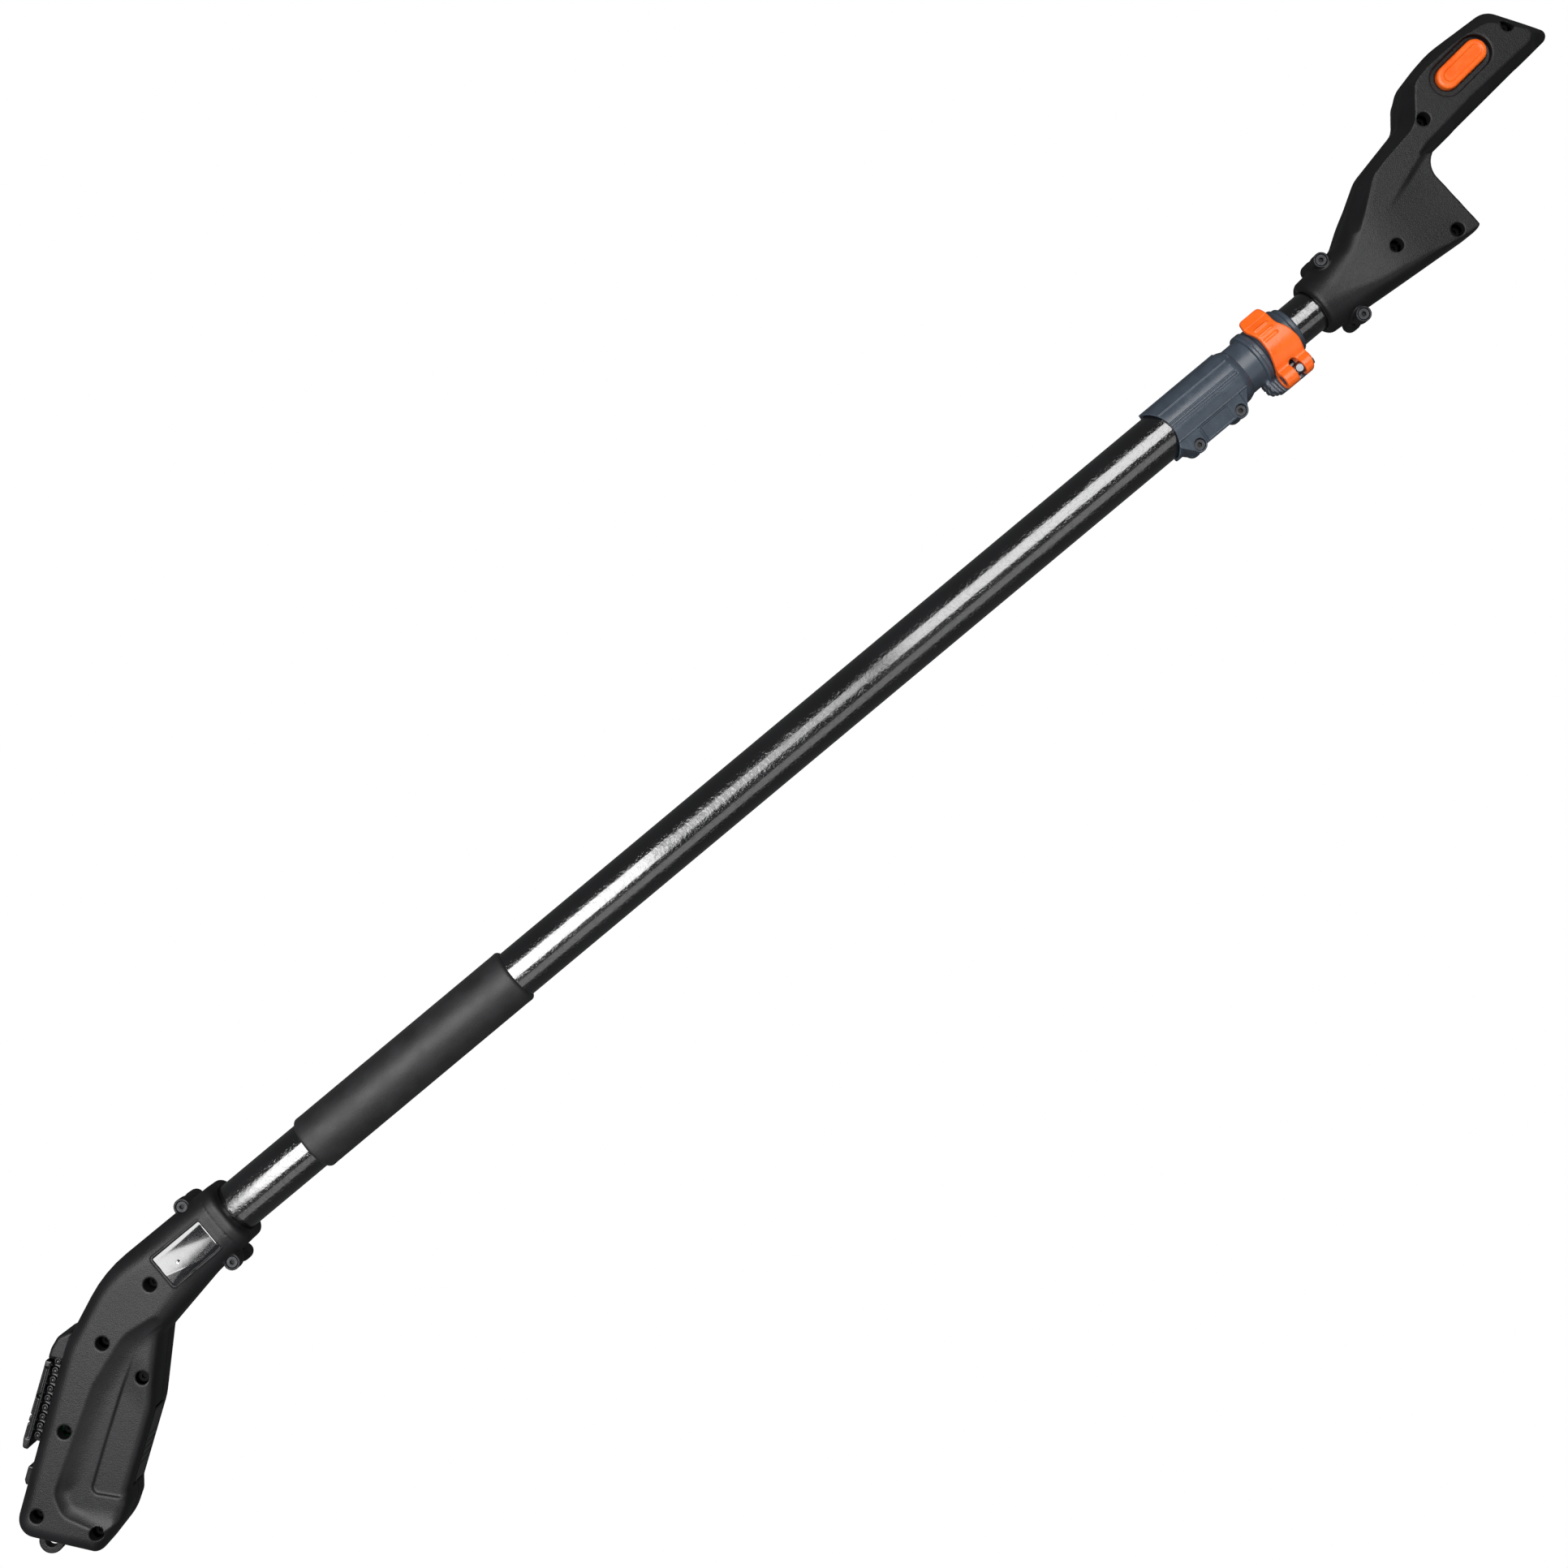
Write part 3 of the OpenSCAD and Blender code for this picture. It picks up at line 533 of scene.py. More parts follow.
def trigger_paddle(x, y, z):
    s, n = along(x, y, TRIGGER_AT, TRIGGER_SLOPE)
    f = round_meet(outline(PADDLE, s, n), np.abs(z) - 9.8, 1.2)
    for at in (16, 21, 26, 31, 36):
        f = groove(f, s - at, 1.0, 0.4 * (n < 1))
    f = cut(f, post(s, n, TRIGGER_PIVOT, 2.05), meet(post(s, n, TRIGGER_PIVOT, 4.5), np.abs(z) - 4))
    return cut(f, box(s, n, z, 37.5, 50.5, 5, 13, -4, 4))


# ---------------------------------------------------------------- collar and lock


def on_collar(y, z, degrees):
    """Tangential and radial distances from a line along the collar, at an angle from the top."""
    g = math.radians(degrees)
    return y * math.cos(g) - z * math.sin(g), y * math.sin(g) + z * math.cos(g)


def collar_half(near):
    def field(x, y, z):
        f = rod(y, z, COLLAR_R)
        taper = (np.hypot(y, z) - COLLAR_R + (x - (COLLAR_END - 4.6)) * 0.42) * 0.92
        f = round_meet(f, taper, 0.8)
        f = round_meet(f, x - COLLAR_END, 0.6)
        for angle, wide, high in ((35, 1.0, 0.75), (-33, 0.9, 0.45), (86, 2.0, 0.6)):
            t, r = on_collar(y, z, angle)
            ridge = meet(np.abs(t) - wide / 2, r - COLLAR_R - high, -r, x - COLLAR_END + 5)
            f = round_join(f, ridge, 0.2)
        for angle in (-1.2, 4.8):
            t, r = on_collar(y, z, angle)
            f = join(f, meet(np.abs(t) - 1.1, r - COLLAR_R - 0.35, -r, x - COLLAR_END + 6))
            f = groove(f, np.maximum(np.abs(t), x - COLLAR_END + 6), 0.9, 0.6)
        ledge = (z * 0.96 + (y + 11.4) * -0.28) - 15.6
        foot = meet(ledge, between(y, -24, -11.4), between(x, 823 - (y + 24) * 0.9, 866 + (y + 24) * 0.7))
        f = join(f, round_meet(foot, -24 - y, 1.5))
        panel = meet(between(x, 833.5, 856), between(y, -22.6, -12.6))
        f = meet(f, join(f + 0.7, -panel))
        for at in COLLAR_SCREWS:
            ear = join(post(x, y, at, 5.2), meet(np.abs(x - at[0]) - 5.2, between(y, at[1], -11.2)))
            f = join(f, round_meet(ear, ledge - 0.45, 0.5))
        f = round_cut(f, post(x, y, (COLLAR_START - 20, 0), 32), 0.5)
        f = cut(f, meet(rod(y, z, OUTER_R + 0.05), x - OUTER_END - 0.2), rod(y, z, 17.85))
        for at in COLLAR_SCREWS:
            f = cut(f, post(x, y, at, SCREW_R))
            f = round_cut(f, meet(post(x, y, at, 4.1), (8.3 if near else 9) - z), 0.4)
        seam = (np.hypot(y, z) - COLLAR_R + 0.35 - z) * 0.7
        return meet(f, seam, 0.03 - z)

    return field


SLEEVE_EAR = rounded([
    (888, -12, 1), (889, -27, 5), (896.5, -31, 4), (921.5, -31, 3), (921.5, -12, 1)])


def lock_sleeve(x, y, z):
    turned = meet(rod(y, z, 16.05), between(x, 821, 861))
    turned = join(turned, round_meet(rod(y, z, 17.8), between(x, 860.2, 893), 0.4))
    flange = round_meet(rod(y, z, 20.3), between(x, 891.3, 897.2), 0.9)
    turned = round_join(turned, flange, 0.8)
    turned = groove(turned, x - 894.2, 0.7, 0.6)
    turned = join(turned, round_meet(rod(y, z, 19.2), between(x, 896, 922), 0.8))
    turned = join(turned, round_meet(rod(y, z, 17.3), between(x, 918, 926.3), 1.2))
    ear = round_meet(outline(SLEEVE_EAR, x, y), np.abs(z) - 7, 0.6)
    for at in (890.6, 892.9, 895.2):
        ear = groove(ear, x - at + (y + 31) * 0.12, 0.8, 0.55)
    f = round_join(turned, ear, 1.0)
    f = cut(f, rod(y, z, 15.06), box(x, y, z, 888, 940, -40, -10, -0.9, 0.9))
    return cut(f, post(x, y, (PIVOT_X, PIVOT_Y), 2.8))


def arc(radius, start, end, step=4):
    """Points round the pole's axis, at angles from the top towards +y."""
    count = max(2, round(abs(end - start) / step))
    angles = [math.radians(start + (end - start) * k / count) for k in range(count + 1)]
    return [(radius * math.sin(a), radius * math.cos(a)) for a in angles]


LEVER = arc(LEVER_IN, -60, 46) + [(23.2, 10.6), (25.0, 11.6), (24.9, 13.6)] + arc(LEVER_OUT, 42, -50)
LEVER_PLAN = rounded([
    (895.6, -31.4, 2.5), (917, -31.4, 2.5), (919.6, -20, 20), (920.4, -8, 15), (918.6, 2, 20),
    (914.6, 10.5, 9), (916, 18, 9), (914.8, 25.2, 4), (898.4, 25.2, 4), (896.4, 17.5, 8),
    (898.9, 8, 14), (898.2, -3, 20), (896.3, -13, 30), (895.6, -21, 20)])


def cam_lever(x, y, z):
    band = outline(LEVER, y, z)
    cam = np.hypot(y - PIVOT_Y, z - PIVOT_Z + 0.4) - 6.8
    f = round_join(band, cam, 2.5)
    f = round_meet(f, outline(LEVER_PLAN, x, y), 1.1)
    for across in (13.2, 8.6, 4.1):
        rise = math.sqrt(LEVER_OUT**2 - across**2) - 0.5
        along_x = np.maximum(np.abs(x - PIVOT_X + 2.6) - 4.6, 0)
        f = round_join(f, np.sqrt(along_x**2 + (y - across) ** 2 + (z - rise) ** 2) - 1.3, 0.4)
    crease = y * 0.9 - z * 0.42 - 9.0
    f = groove(f, crease, 0.7, 0.25)
    slot = meet(oval(y + 40, x - PIVOT_X, 48.4, 6.5), -z)
    f = round_cut(f, slot, 0.7)
    f = cut(f, np.hypot(y - PIVOT_Y, z - PIVOT_Z) - 4.05)
    return f


# ---------------------------------------------------------------- head


def head_half(near):
    def field(x, y, z):
        d = outline(HEAD, x, y)
        share = blend(x, 955, 1014, 0, 1)
        reach = blend(x, 948, 1000, 20.5, 11) - blend(x, 1000, 1060, 0, 8.2) + blend(x, 1068, 1090, 0, 2)
        base, rise = share * SIDE_HALF, 20.5 + share * (HALF_THICK - SIDE_HALF - 20.5)
        f = shoulder(d, z, reach, base, rise, 2 + 0.7 * share)
        face = outline(HEAD_FACE, x, y)
        under = blend(along(x, y, SAW_DOCK_AT, ARM_SLOPE)[1], 9, 15, 1, 0)
        under = under * blend(x, 1044, 1058, 0, 1) * blend(x, 1160, 1172, 1, 0)
        fall = np.clip(face / np.maximum(face - np.minimum(d, 0), 0.05), 0, 1)
        drop = (17.5 - 9.5 * under) * fall * blend(x, 976, 1010, 0, 1) * blend(face, -0.5, 1.5, 0, 1)
        slopes = (z - HALF_THICK + drop) * np.where(face > 0, 0.55, 1)
        f = round_meet(f, slopes, 0.9)
        lower = -outline(ARM_CREASE, x, y)
        fall = blend(lower, 0, 5.5, 0, 1) * blend(x, 1004, 1056, 0, 1.7)
        f = meet(f, z - HALF_THICK + fall)
        f = round_meet(f, MOUTH_X - x, 3.4)
        for at in HEAD_CLAMPS:
            f = round_join(f, round_meet(post(x, y, at, CLAMP_R - 0.3), z - CLAMP_HALF, 0.8), 1.6)
        f = meet(f, (d + 0.5 - z) * 0.7)
        hollow = meet(outline(HEAD_CAVITY, x, y), z - 18.1)
        for at in HEAD_SCREWS:
            hollow = cut(hollow, post(x, y, at, 4.8))
        f = cut(f, meet(hollow, f + 2), meet(rod(y, z, INNER_R + 0.05), x - 1000.5))
        f = cut(f, meet(rod(y, z, 10), between(x, 999, 1006), -post(x, y, HEAD_SCREWS[1], 4.8)))
        s, n = along(x, y, SAW_DOCK_AT, ARM_SLOPE)
        f = cut(f, box(s, n, z, -38, 34, -8, 9, -9, 15))
        s, n = along(x, y, DISH_AT, ARM_SLOPE)
        f = round_cut(f, meet(oval(s, n, 48, 23.6), DISH_FLOOR - z), 0.8)
        s, n = along(x, y, BUTTON_AT, ARM_SLOPE)
        f = round_cut(f, oval(s, n, BUTTON_L + 0.6, BUTTON_W + 0.6), 0.3)
        f = cut(f, meet(oval(s, n, BUTTON_L + 6, BUTTON_W + 5), z - 18.5))
        for at in HEAD_SCREWS:
            shaft = post(x, y, at, SCREW_R if near else 1.95)
            f = cut(f, shaft if near else meet(shaft, z - 14))
            if near:
                f = round_cut(f, meet(post(x, y, at, RECESS_R), RECESS_FLOOR - z), 0.5)
        for at in HEAD_CLAMPS:
            recess = meet(post(x, y, at, 4), CLAMP_HALF - (5 if near else 3.4) - z)
            f = cut(round_cut(f, recess, 0.4), post(x, y, at, SCREW_R))
        return meet(f, 0.03 - z)

    return field


def release_button(x, y, z):
    s, n = along(x, y, BUTTON_AT, ARM_SLOPE)
    f = round_meet(oval(s, n, BUTTON_L, BUTTON_W), between(z, 16.4, BUTTON_TOP), 1.9)
    f = round_cut(f, meet(oval(s - 0.6, n, BUTTON_L - 9, BUTTON_W - 8.5), BUTTON_TOP - 0.75 - z), 1.0)
    f = join(f, round_meet(oval(s, n, BUTTON_L + 4, BUTTON_W + 3), between(z, 16.4, 18.2), 0.4))
    return cut(f, meet(post(s, n, (0, 0), 4.4), z - 19.8))


# ---------------------------------------------------------------- shader node groups


def node_group(name, inputs, outputs):
    """A shader node group with number and colour sockets; returns it with its input and output nodes."""
    tree = bpy.data.node_groups.new(name, "ShaderNodeTree")
    for label, value in inputs.items():
        kind = "NodeSocketColor" if isinstance(value, tuple) else "NodeSocketFloat"
        tree.interface.new_socket(label, in_out="INPUT", socket_type=kind).default_value = value
    for label, kind in outputs.items():
        tree.interface.new_socket(label, in_out="OUTPUT", socket_type=kind)
    return tree, tree.nodes.new("NodeGroupInput"), tree.nodes.new("NodeGroupOutput")


def sums(tree, operation, a, b, clamp=False):
    """A Math node on two values, each a socket or a number."""
    node = tree.nodes.new("ShaderNodeMath")
    node.operation = operation
    node.use_clamp = clamp
    for socket, value in zip(node.inputs, (a, b)):
        if isinstance(value, bpy.types.NodeSocket):
            tree.links.new(value, socket)
        else:
            socket.default_value = value
    return node.outputs[0]


def lay_over(tree, into, out, mask, under, over):
    """Ends a group: one of its colours laid over another by a mask, and the mask itself."""
    mix = tree.nodes.new("ShaderNodeMix")
    mix.data_type = "RGBA"
    tree.links.new(mask, mix.inputs["Factor"])
    tree.links.new(into.outputs[under], mix.inputs["A"])
    tree.links.new(into.outputs[over], mix.inputs["B"])
    tree.links.new(mix.outputs["Result"], out.inputs["Color"])
    tree.links.new(mask, out.inputs["Mask"])
    return tree


def texture_at(tree, kind, pitch, detail=2.0, stretch=(1, 1, 1)):
    """A texture in millimetres on the piece, with the given pitch."""
    place_node = tree.nodes.new("ShaderNodeTexCoord")
    stretched = tree.nodes.new("ShaderNodeVectorMath")
    stretched.operation = "MULTIPLY"
    stretched.inputs[1].default_value = [1000 * k for k in stretch]
    tree.links.new(place_node.outputs["Object"], stretched.inputs[0])
    scaled = tree.nodes.new("ShaderNodeVectorMath")
    scaled.operation = "SCALE"
    tree.links.new(stretched.outputs[0], scaled.inputs[0])
    tree.links.new(sums(tree, "DIVIDE", 1.0, pitch), scaled.inputs["Scale"])
    texture = tree.nodes.new(kind)
    texture.inputs["Scale"].default_value = 1.0
    if "Detail" in texture.inputs:
        texture.inputs["Detail"].default_value = detail
    tree.links.new(scaled.outputs[0], texture.inputs["Vector"])
    return texture


def grain_group():
    """Fine moulded or sprayed grain: a height made of small pits on gentle waves."""
    tree, into, out = node_group(
        "surface_grain", {"Pitch": 0.5, "Wave": 3.0, "Waviness": 0.5}, {"Height": "NodeSocketFloat"})
    pits = texture_at(tree, "ShaderNodeTexVoronoi", into.outputs["Pitch"])
    pits.feature = "SMOOTH_F1"
    fine = texture_at(tree, "ShaderNodeTexNoise", into.outputs["Pitch"], 3.0)
    wave = texture_at(tree, "ShaderNodeTexNoise", into.outputs["Wave"], 1.0)
    rough = sums(tree, "ADD", sums(tree, "MULTIPLY", pits.outputs["Distance"], 0.6), fine.outputs[0])
    broad = sums(tree, "MULTIPLY", wave.outputs[0], into.outputs["Waviness"])
    tree.links.new(sums(tree, "ADD", rough, broad), out.inputs["Height"])
    return tree


def drift_group():
    """Slow drift between two tones, as handling and moulding leave it, with a mask for the roughness."""
    tree, into, out = node_group(
        "tone_drift", {"Tone": (0.1, 0.1, 0.1, 1), "Second Tone": (0.2, 0.2, 0.2, 1), "Size": 20.0},
        {"Color": "NodeSocketColor", "Mask": "NodeSocketFloat"})
    cloud = texture_at(tree, "ShaderNodeTexNoise", into.outputs["Size"], 5.0)
    share = sums(tree, "MULTIPLY", sums(tree, "SUBTRACT", cloud.outputs[0], 0.35), 3.0, True)
    return lay_over(tree, into, out, share, "Tone", "Second Tone")


def specks_group():
    """Scattered small specks of dust and nicks, laid over a colour."""
    tree, into, out = node_group(
        "dust_specks",
        {"Under": (0.1, 0.1, 0.1, 1), "Speck": (0.6, 0.6, 0.6, 1), "Spacing": 6.0, "Amount": 0.1},
        {"Color": "NodeSocketColor", "Mask": "NodeSocketFloat"})
    cells = texture_at(tree, "ShaderNodeTexVoronoi", into.outputs["Spacing"])
    gate = tree.nodes.new("ShaderNodeSeparateColor")
    tree.links.new(cells.outputs["Color"], gate.inputs[0])
    few = sums(tree, "LESS_THAN", gate.outputs[0], 0.4)
    small = sums(tree, "SUBTRACT", sums(tree, "MULTIPLY", gate.outputs[1], into.outputs["Amount"]),
                 cells.outputs["Distance"])
    mask = sums(tree, "MULTIPLY", sums(tree, "MULTIPLY", small, 25.0, True), few, True)
    return lay_over(tree, into, out, mask, "Under", "Speck")


def edge_highlight_group():
    """Painted highlight: paler convex edges, where the light would catch them, broken up by noise."""
    tree, into, out = node_group(
        "painted_edge_highlight", {"Under": (0.1, 0.1, 0.1, 1), "Edge": (0.3, 0.3, 0.3, 1), "Amount": 0.5},
        {"Color": "NodeSocketColor", "Mask": "NodeSocketFloat"})
    shape = tree.nodes.new("ShaderNodeNewGeometry")
    sharp = sums(tree, "MULTIPLY", sums(tree, "SUBTRACT", shape.outputs["Pointiness"], 0.535), 12.0, True)
    broken = texture_at(tree, "ShaderNodeTexNoise", 2.5, 3.0)
    lit_edges = sums(tree, "MULTIPLY", sharp, broken.outputs[0], True)
    mask = sums(tree, "MULTIPLY", lit_edges, into.outputs["Amount"])
    return lay_over(tree, into, out, mask, "Under", "Edge")


GRAIN, DRIFT, SPECKS, EDGE_HIGHLIGHT = grain_group(), drift_group(), specks_group(), edge_highlight_group()


# ---------------------------------------------------------------- materials


def tone(r, g, b):
    """A colour from screen values of 0 to 255."""
    parts = [c / 255 for c in (r, g, b)]
    return tuple(c / 12.92 if c < 0.0405 else ((c + 0.055) / 1.055) ** 2.4 for c in parts) + (1,)


def add_group(tree, group, **values):
    node = tree.nodes.new("ShaderNodeGroup")
    node.node_tree = group
    for label, value in values.items():
        socket = node.inputs[label.replace("_", " ")]
        if isinstance(value, bpy.types.NodeSocket):
            tree.links.new(value, socket)
        else:
            socket.default_value = value
    return node


def material(name, colours, size, rough, grain, depth, specks=None, edge=None, **sockets):
    """A finish: two drifting tones, a roughness range, a grain and its depth in millimetres, then
    optional (colour, spacing, amount) specks and (colour, amount) painted edge highlights, and plain
    sockets."""
    made = bpy.data.materials.new(name)
    made.use_nodes = True
    tree = made.node_tree
    shader = tree.nodes["Principled BSDF"]
    for label, value in sockets.items():
        shader.inputs[label.replace("_", " ")].default_value = value
    drift = add_group(tree, DRIFT, Tone=colours[0], Second_Tone=colours[1], Size=size)
    colour = drift.outputs["Color"]
    # The edge colour is a painted highlight laid along convex edges.
    if edge:
        colour = add_group(tree, EDGE_HIGHLIGHT, Under=colour, Edge=edge[0], Amount=edge[1]).outputs["Color"]
    if specks:
        dust = add_group(
            tree, SPECKS, Under=colour, Speck=specks[0], Spacing=specks[1], Amount=specks[2])
        colour = dust.outputs["Color"]
    tree.links.new(colour, shader.inputs["Base Color"])
    spread = sums(tree, "MULTIPLY", drift.outputs["Mask"], rough[1] - rough[0])
    tree.links.new(sums(tree, "ADD", spread, rough[0]), shader.inputs["Roughness"])
    height = add_group(tree, GRAIN, Pitch=grain[0], Wave=grain[1], Waviness=grain[2])
    bump = tree.nodes.new("ShaderNodeBump")
    bump.inputs["Distance"].default_value = depth * MM
    tree.links.new(height.outputs["Height"], bump.inputs["Height"])
    tree.links.new(bump.outputs["Normal"], shader.inputs["Normal"])
    return made


# The edge colours below are painted highlights along convex edges.
enamel = material(
    "black_enamel", (tone(9, 9, 10), tone(15, 15, 17)), 60, (0.12, 0.24), (2.0, 6, 1.2), 0.3,
    specks=(tone(90, 92, 96), 9, 0.07), Specular_IOR_Level=0.9, Coat_Weight=1.0, Coat_Roughness=0.1,
    Coat_IOR=1.9)
foam = material(
    "black_foam", (tone(24, 24, 25), tone(31, 31, 33)), 14, (0.5, 0.6), (0.7, 6, 0.8), 0.1,
    specks=(tone(70, 70, 72), 3, 0.12), Specular_IOR_Level=0.5, Sheen_Weight=0.03)
housing = material(
    "spark_textured_black", (tone(21, 21, 22), tone(27, 27, 29)), 30, (0.38, 0.48), (0.7, 4, 0.5), 0.12,
    specks=(tone(100, 100, 104), 8, 0.05), edge=(tone(80, 81, 86), 0.6), Specular_IOR_Level=0.36)
# Screws at the foot of the deep recesses: black steel painted darker and duller than the exposed black
# oxide, as painted shade of the recess.
recess_shaded_steel = material(
    "black_steel_painted_recess_shade", (tone(4, 4, 4), tone(8, 8, 9)), 4, (0.5, 0.6), (0.4, 2, 0.6), 0.02,
    Specular_IOR_Level=0.08)
glossy_black = material(
    "smooth_black", (tone(11, 11, 12), tone(17, 17, 19)), 18, (0.16, 0.28), (1.2, 5, 0.8), 0.02,
    edge=(tone(110, 112, 118), 0.5), specks=(tone(120, 120, 124), 6, 0.06), Specular_IOR_Level=0.5)
film = material(
    "label_film", (tone(14, 14, 17), tone(22, 22, 26)), 25, (0.08, 0.12), (6, 20, 1.5), 0.02,
    Specular_IOR_Level=0.9, Coat_Weight=1.0, Coat_IOR=1.9, Coat_Roughness=0.06)
collar_grey = material(
    "slate_grey", (tone(58, 66, 76), tone(65, 74, 85)), 9, (0.28, 0.38), (0.8, 5, 0.7), 0.02,
    specks=(tone(200, 206, 214), 7, 0.12), edge=(tone(150, 160, 174), 0.7), Specular_IOR_Level=0.6)
orange = material(
    "signal_orange", (tone(244, 98, 24), tone(250, 112, 36)), 12, (0.24, 0.34), (1.4, 6, 0.8), 0.02,
    specks=(tone(214, 70, 12), 7, 0.06), edge=(tone(255, 148, 78), 0.5), Specular_IOR_Level=0.5,
    Subsurface_Weight=0.08, Subsurface_Scale=0.002)
bright_steel = material(
    "bright_steel", (tone(112, 114, 118), tone(140, 142, 147)), 6, (0.24, 0.36), (0.4, 3, 0.6), 0.02,
    Metallic=1.0)
dark_steel = material(
    "black_oxide", (tone(8, 8, 9), tone(14, 14, 15)), 3, (0.3, 0.42), (0.4, 2, 0.6), 0.02,
    edge=(tone(110, 112, 118), 0.5), Specular_IOR_Level=0.2)
spring_steel = material(
    "spring_steel", (tone(132, 135, 140), tone(160, 163, 168)), 5, (0.24, 0.36), (0.4, 3, 0.5), 0.01,
    Metallic=1.0)
brass = material(
    "contact_brass", (tone(184, 146, 70), tone(208, 172, 96)), 6, (0.2, 0.34), (0.5, 3, 0.5), 0.01,
    Metallic=1.0)
board = material(
    "board_green", (tone(24, 84, 50), tone(34, 104, 62)), 6, (0.3, 0.42), (0.5, 3, 0.5), 0.02)
nylon = material(
    "bush_nylon", (tone(58, 62, 68), tone(74, 78, 86)), 12, (0.4, 0.5), (0.6, 4, 0.5), 0.02)
rubber = material(
    "cable_rubber", (tone(26, 26, 27), tone(38, 38, 40)), 12, (0.5, 0.62), (0.5, 4, 0.5), 0.03)


# ---------------------------------------------------------------- pieces that replace plain nodes


def dress(piece, body, slot, finish, *stands_for):
    """Gives a piece its finish, lets it ride on its body and hides the nodes it stands for."""
    piece.data.materials.clear()
    piece.data.materials.append(finish)
    if body:
        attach(piece, body)
    if stands_for:
        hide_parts(*stands_for)
    return piece


def tube_profile(x0, x1, outer, bore, ease=0.35):
    """The section of a straight tube with eased ends."""
    steps = np.linspace(x0 + 1, x1 - 1, 9)
    return ([(x0, bore), (x0, outer - ease), (x0 + ease, outer)] + [(x, outer) for x in steps]
            + [(x1 - ease, outer), (x1, outer - ease), (x1, bore)] + [(x, bore) for x in steps[::-1]])


def foam_profile():
    """A foam sleeve: full round ends and a skin that swells and dips a little."""
    start, end, outer, ease = 67.0, 246.0, 20.15, 2.6
    ends = [math.radians(g) for g in range(0, 91, 15)]
    skin = [(start + ease * (1 - math.cos(g)), outer - ease * (1 - math.sin(g))) for g in ends]
    for x in np.linspace(start + 6, end - 6, 70):
        ripple = 0.09 * math.sin(x * 0.31) + 0.07 * math.sin(x * 0.83 + 1)
        skin.append((x, outer - 0.1 + 0.1 * ripple))
    skin += [(end - ease * (1 - math.cos(g)), outer - ease * (1 - math.sin(g))) for g in reversed(ends)]
    return [(start, OUTER_R + 0.05)] + skin + [(end, OUTER_R + 0.05)]


def make_tubes():
    outer = lathe("outer_tube_skin", tube_profile(-60, OUTER_END, OUTER_R, OUTER_R - 1.4), 160)
    dress(outer, "pole", "tube_enamel", enamel, "outer_tube")
    inner = lathe("inner_tube_skin", tube_profile(-2, 1000, INNER_R, INNER_R - 1.4), 160)
    dress(inner, "head", "tube_enamel", enamel, "inner_tube")
    sleeve = lathe("foam_sleeve", foam_profile(), 160)
    dress(sleeve, "pole", "grip_foam", foam, "foam_grip")


def make_halves():
    step = 0.7
    low, high = (-249, -120, 0), (1, 30, HALF_THICK + 0.6)
    for side in ("near", "far"):
        half = moulding("rear_shell_" + side, rear_half(side == "near"), low, high, step, side == "far")
        dress(half, "pole", "housing_plastic", housing, "rear_housing_" + side)
    low, high = (MOUTH_X - 1, -31, 0), (1186, 84, HALF_THICK + 0.4)
    for side in ("near", "far"):
        half = moulding("head_shell_" + side, head_half(side == "near"), low, high, step, side == "far")
        dress(half, "head", "housing_plastic", housing, "head_" + side)


def make_grip_fittings():
    film_piece = moulding("label_film", label_film, (-57, -15, 20), (-15, 10, 26.6), 0.32)
    dress(film_piece, "pole", "label_film", film, "label_panel")
    low, high = (-218, -60, -19), (-128, 22, 19)
    rail = moulding("dock_rail", battery_rail, low, high, 0.45)
    dress(rail, "pole", "dock_plastic", glossy_black, "battery_rail")
    block = moulding("dock_block", battery_terminal_block, low, high, 0.45)
    dress(block, "pole", "dock_plastic", glossy_black, "battery_terminal_block")
    hood = moulding("dock_hood", battery_hood, (-160, -10, -17), (-126, 20, 17), 0.45)
    dress(hood, "pole", "dock_plastic", housing, "battery_hood")
    keeper = moulding("keeper_tab", latch_keeper, (-228, -60, -10), (-210, -40, 10), 0.35)
    dress(keeper, "pole", "dock_plastic", glossy_black, "latch_keeper")
    loop = moulding("hang_loop", hanging_loop, (-248, -103, -4), (-223, -79, 4), 0.35)
    dress(loop, "pole", "housing_plastic", housing, "hanging_loop")
    paddle = moulding("trigger_shoe", trigger_paddle, (-176, -101, -10), (-118, -60, 10), 0.45)
    dress(paddle, "trigger", "trigger_plastic", glossy_black, "trigger_paddle")


def make_lock():
    low, high = (COLLAR_START - 1, -28, 0), (COLLAR_END, 22, 22)
    for side in ("near", "far"):
        half = moulding("collar_shell_" + side, collar_half(side == "near"), low, high, 0.4, side == "far")
        dress(half, "pole", "collar_grey", collar_grey, "collar_" + side)
    sleeve = moulding("split_sleeve", lock_sleeve, (820, -32, -21), (930, 21, 21), 0.5)
    dress(sleeve, "pole", "collar_grey", collar_grey, "lock_sleeve")
    lever = moulding("lock_lever", cam_lever, (895, -32, 7), (921, 26, 26.5), 0.3)
    dress(lever, "lever", "signal_orange", orange, "cam_lever")


def make_buttons():
    low, high = (1095, 51, 16), (1143, 74, 25.5)
    for side in ("near", "far"):
        cap = moulding("release_cap_" + side, release_button, low, high, 0.3, side == "far")
        dress(cap, "button_" + side, "signal_orange", orange, "release_button_" + side)


def coil(x0, x1, y, z, radius, turns, per_turn=14):
    """A helix along x about (y, z)."""
    count = int(turns * per_turn)
    t = np.linspace(0, 1, count + 1)
    g = 2 * math.pi * turns * t
    return np.stack([x0 + (x1 - x0) * t, y + radius * np.cos(g), z + radius * np.sin(g)], 1)


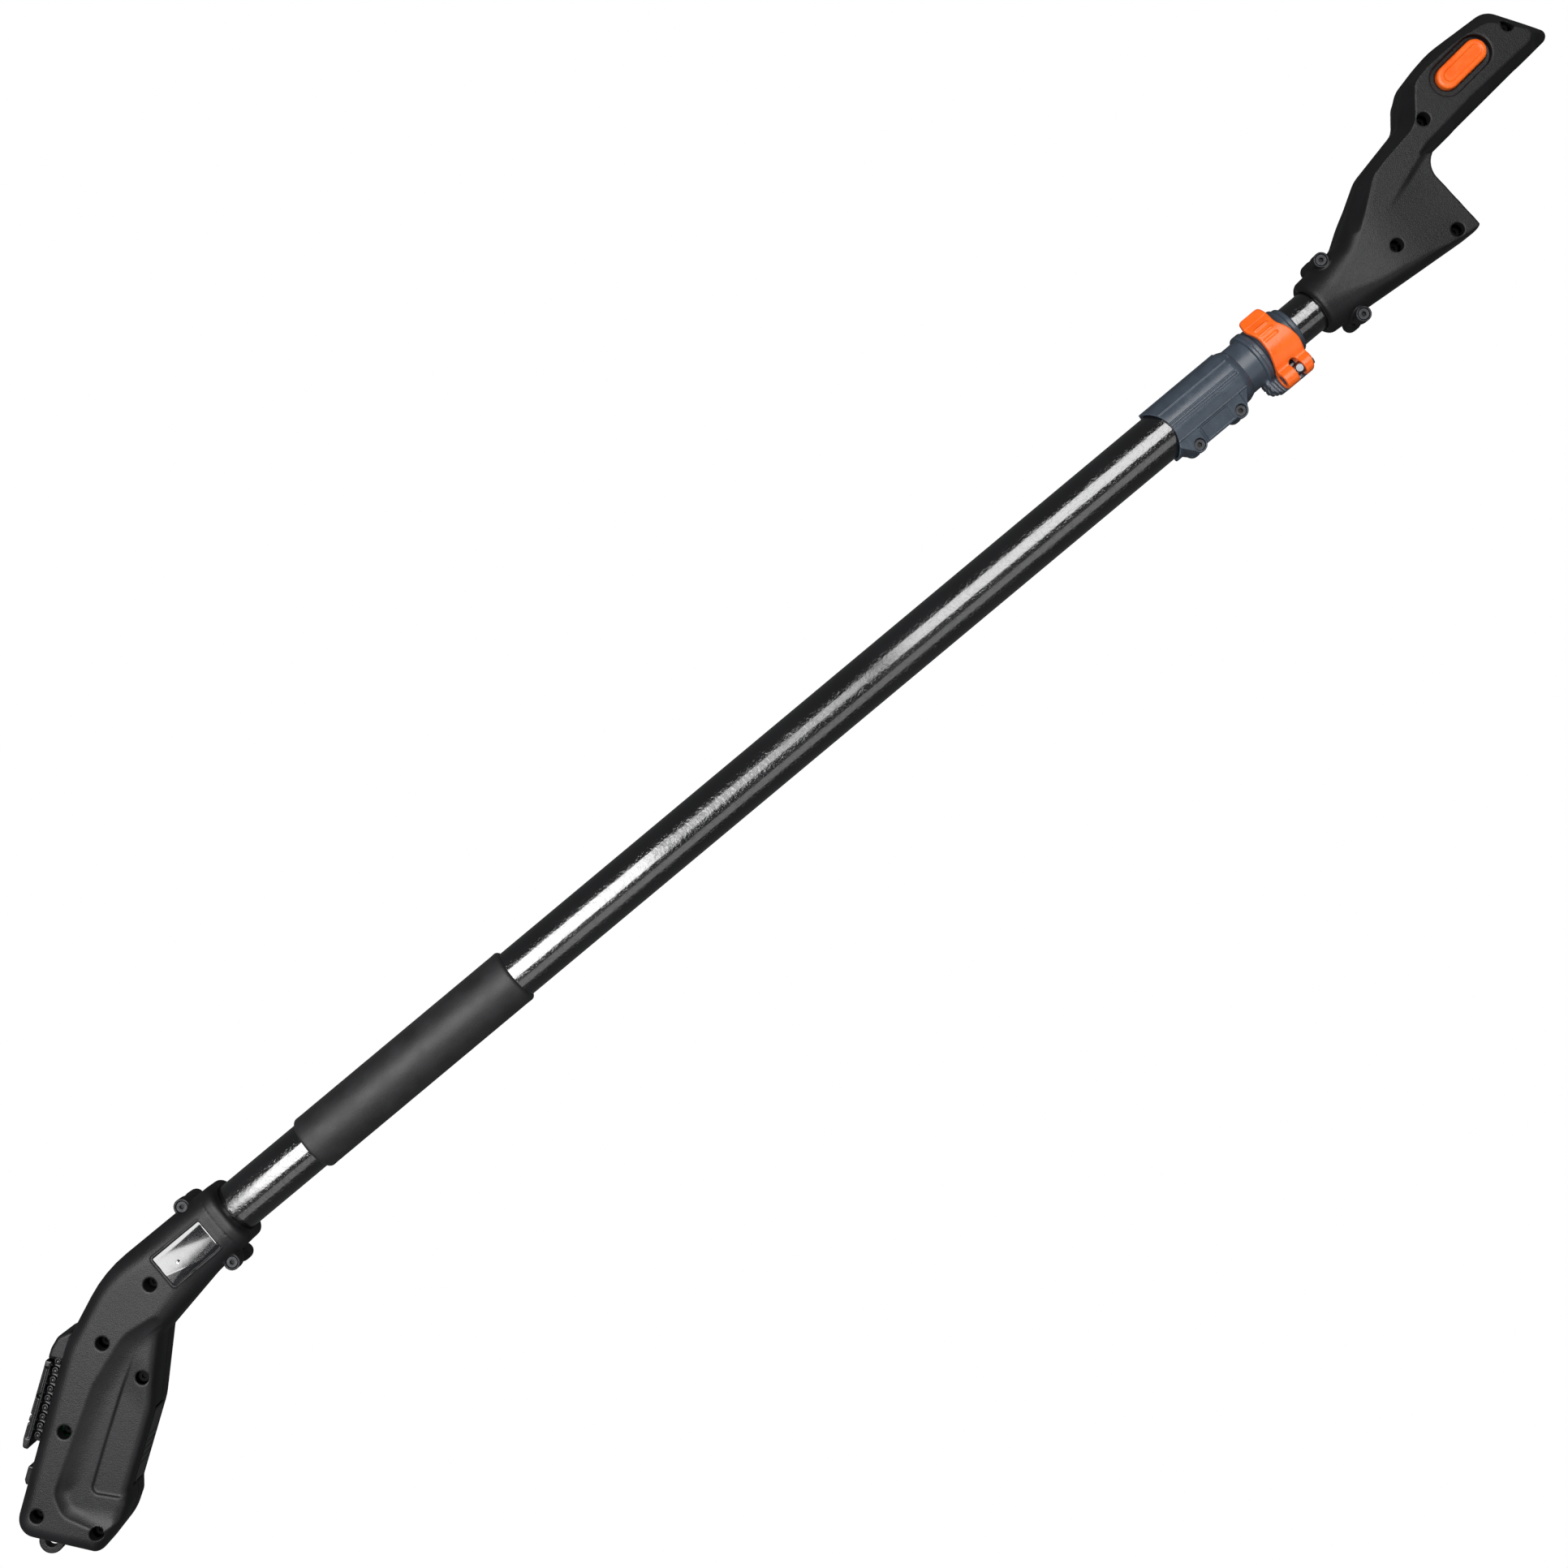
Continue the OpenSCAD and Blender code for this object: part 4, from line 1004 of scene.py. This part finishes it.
def make_wires():
    winding = coil(-44, 952, 0, 0, 8, 166)
    entry = [(-84, 6, 0), (-76, 6, 0), (-66, 6, 0), (-56, 6.4, 0), (-49, 7.4, 0)]
    lead = wire("coiled_lead_wire", np.concatenate([entry, winding]), 2.3)
    dress(lead, None, "cable_rubber", rubber, "coiled_lead")
    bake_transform(lead)
    for side, way in (("near", 1), ("far", -1)):
        turns = coil(2.6, 19.0, BUTTON_AT[0], BUTTON_AT[1], 3.4, 7, 18)
        path = [(y, z, way * x) for x, y, z in turns]
        spring = wire("cap_spring_" + side, path, 0.45, 8)
        dress(spring, None, "spring_steel", spring_steel, "button_spring_" + side)
        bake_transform(spring)


CAD_FINISHES = {
    # the screws down in deep recesses take the darker copy, painted shade
    recess_shaded_steel: ["rear_housing_screws", "head_screws"],
    dark_steel: ["rear_clamp_screws", "rear_clamp_nuts", "collar_screws", "collar_nuts",
                 "head_clamp_screws", "head_clamp_nuts"],
    bright_steel: ["trigger_pin", "lever_barrel_pin", "lever_bolt", "lever_nut"],
    spring_steel: ["trigger_spring", "cam_shoe"],
    brass: ["battery_terminals", "saw_terminals"],
    board: ["control_board"],
    nylon: ["guide_bush", "rear_tube_plug", "latch_plate"],
    glossy_black: ["trigger_switch", "saw_connector"],
    rubber: ["head_lead"],
}


def finish_nodes():
    """The nodes that stay as they were packed get their own finishes."""
    for finish, names in CAD_FINISHES.items():
        for name in names:
            mesh = nodes[name].data
            mesh.materials.clear()
            mesh.materials.append(finish)


make_tubes()
make_halves()
make_grip_fittings()
make_lock()
make_buttons()
make_wires()
finish_nodes()


# ---------------------------------------------------------------- floor and light


def make_floor():
    """A white sweep that lights nothing and is seen only by the camera."""
    bpy.ops.mesh.primitive_plane_add(size=14, location=(0, 0, 0))
    floor = bpy.context.object
    floor.name = "floor"
    paint = bpy.data.materials.new("white_sweep")
    paint.use_nodes = True
    shader = paint.node_tree.nodes["Principled BSDF"]
    shader.inputs["Base Color"].default_value = (0, 0, 0, 1)
    shader.inputs["Specular IOR Level"].default_value = 0
    shader.inputs["Roughness"].default_value = 1
    shader.inputs["Emission Color"].default_value = (1, 1, 1, 1)
    shader.inputs["Emission Strength"].default_value = 1
    floor.data.materials.append(paint)
    floor.visible_glossy = False
    floor.visible_diffuse = False


def softbox(name, x, y, z, length, across, strength, aim):
    """A soft area light at a place in the pole's frame, turned towards another, long along the pole."""
    data = bpy.data.lights.new(name, "AREA")
    data.shape = "RECTANGLE"
    data.size, data.size_y = length * MM, across * MM
    data.energy = strength * data.size * data.size_y
    light = bpy.data.objects.new(name, data)
    light.location = place(x, y, z)
    towards = place(*aim) - light.location
    light.rotation_euler = towards.to_track_quat("-Z", "Y").to_euler()
    light.visible_camera = False
    scene.collection.objects.link(light)


def make_light():
    softbox("softbox_rear", -90, 250, 1300, 720, 1200, 24, (-90, 40, 0))
    softbox("softbox_tail", -800, 400, 1300, 520, 800, 15, (-800, 40, 0))
    softbox("softbox_head", 1110, 300, 1300, 820, 1060, 14, (1110, 40, 0))
    softbox("softbox_middle", 470, 300, 1400, 360, 800, 7, (470, 40, 0))
    softbox("fill", 470, -1300, 1100, 2400, 900, 2.4, (470, 0, 0))
    world = bpy.data.worlds.new("studio")
    scene.world = world
    world.use_nodes = True
    world.node_tree.nodes["Background"].inputs["Color"].default_value = (0.96, 0.98, 1, 1)
    world.node_tree.nodes["Background"].inputs["Strength"].default_value = 0.07
    scene.view_settings.view_transform = "Standard"


make_floor()
make_light()
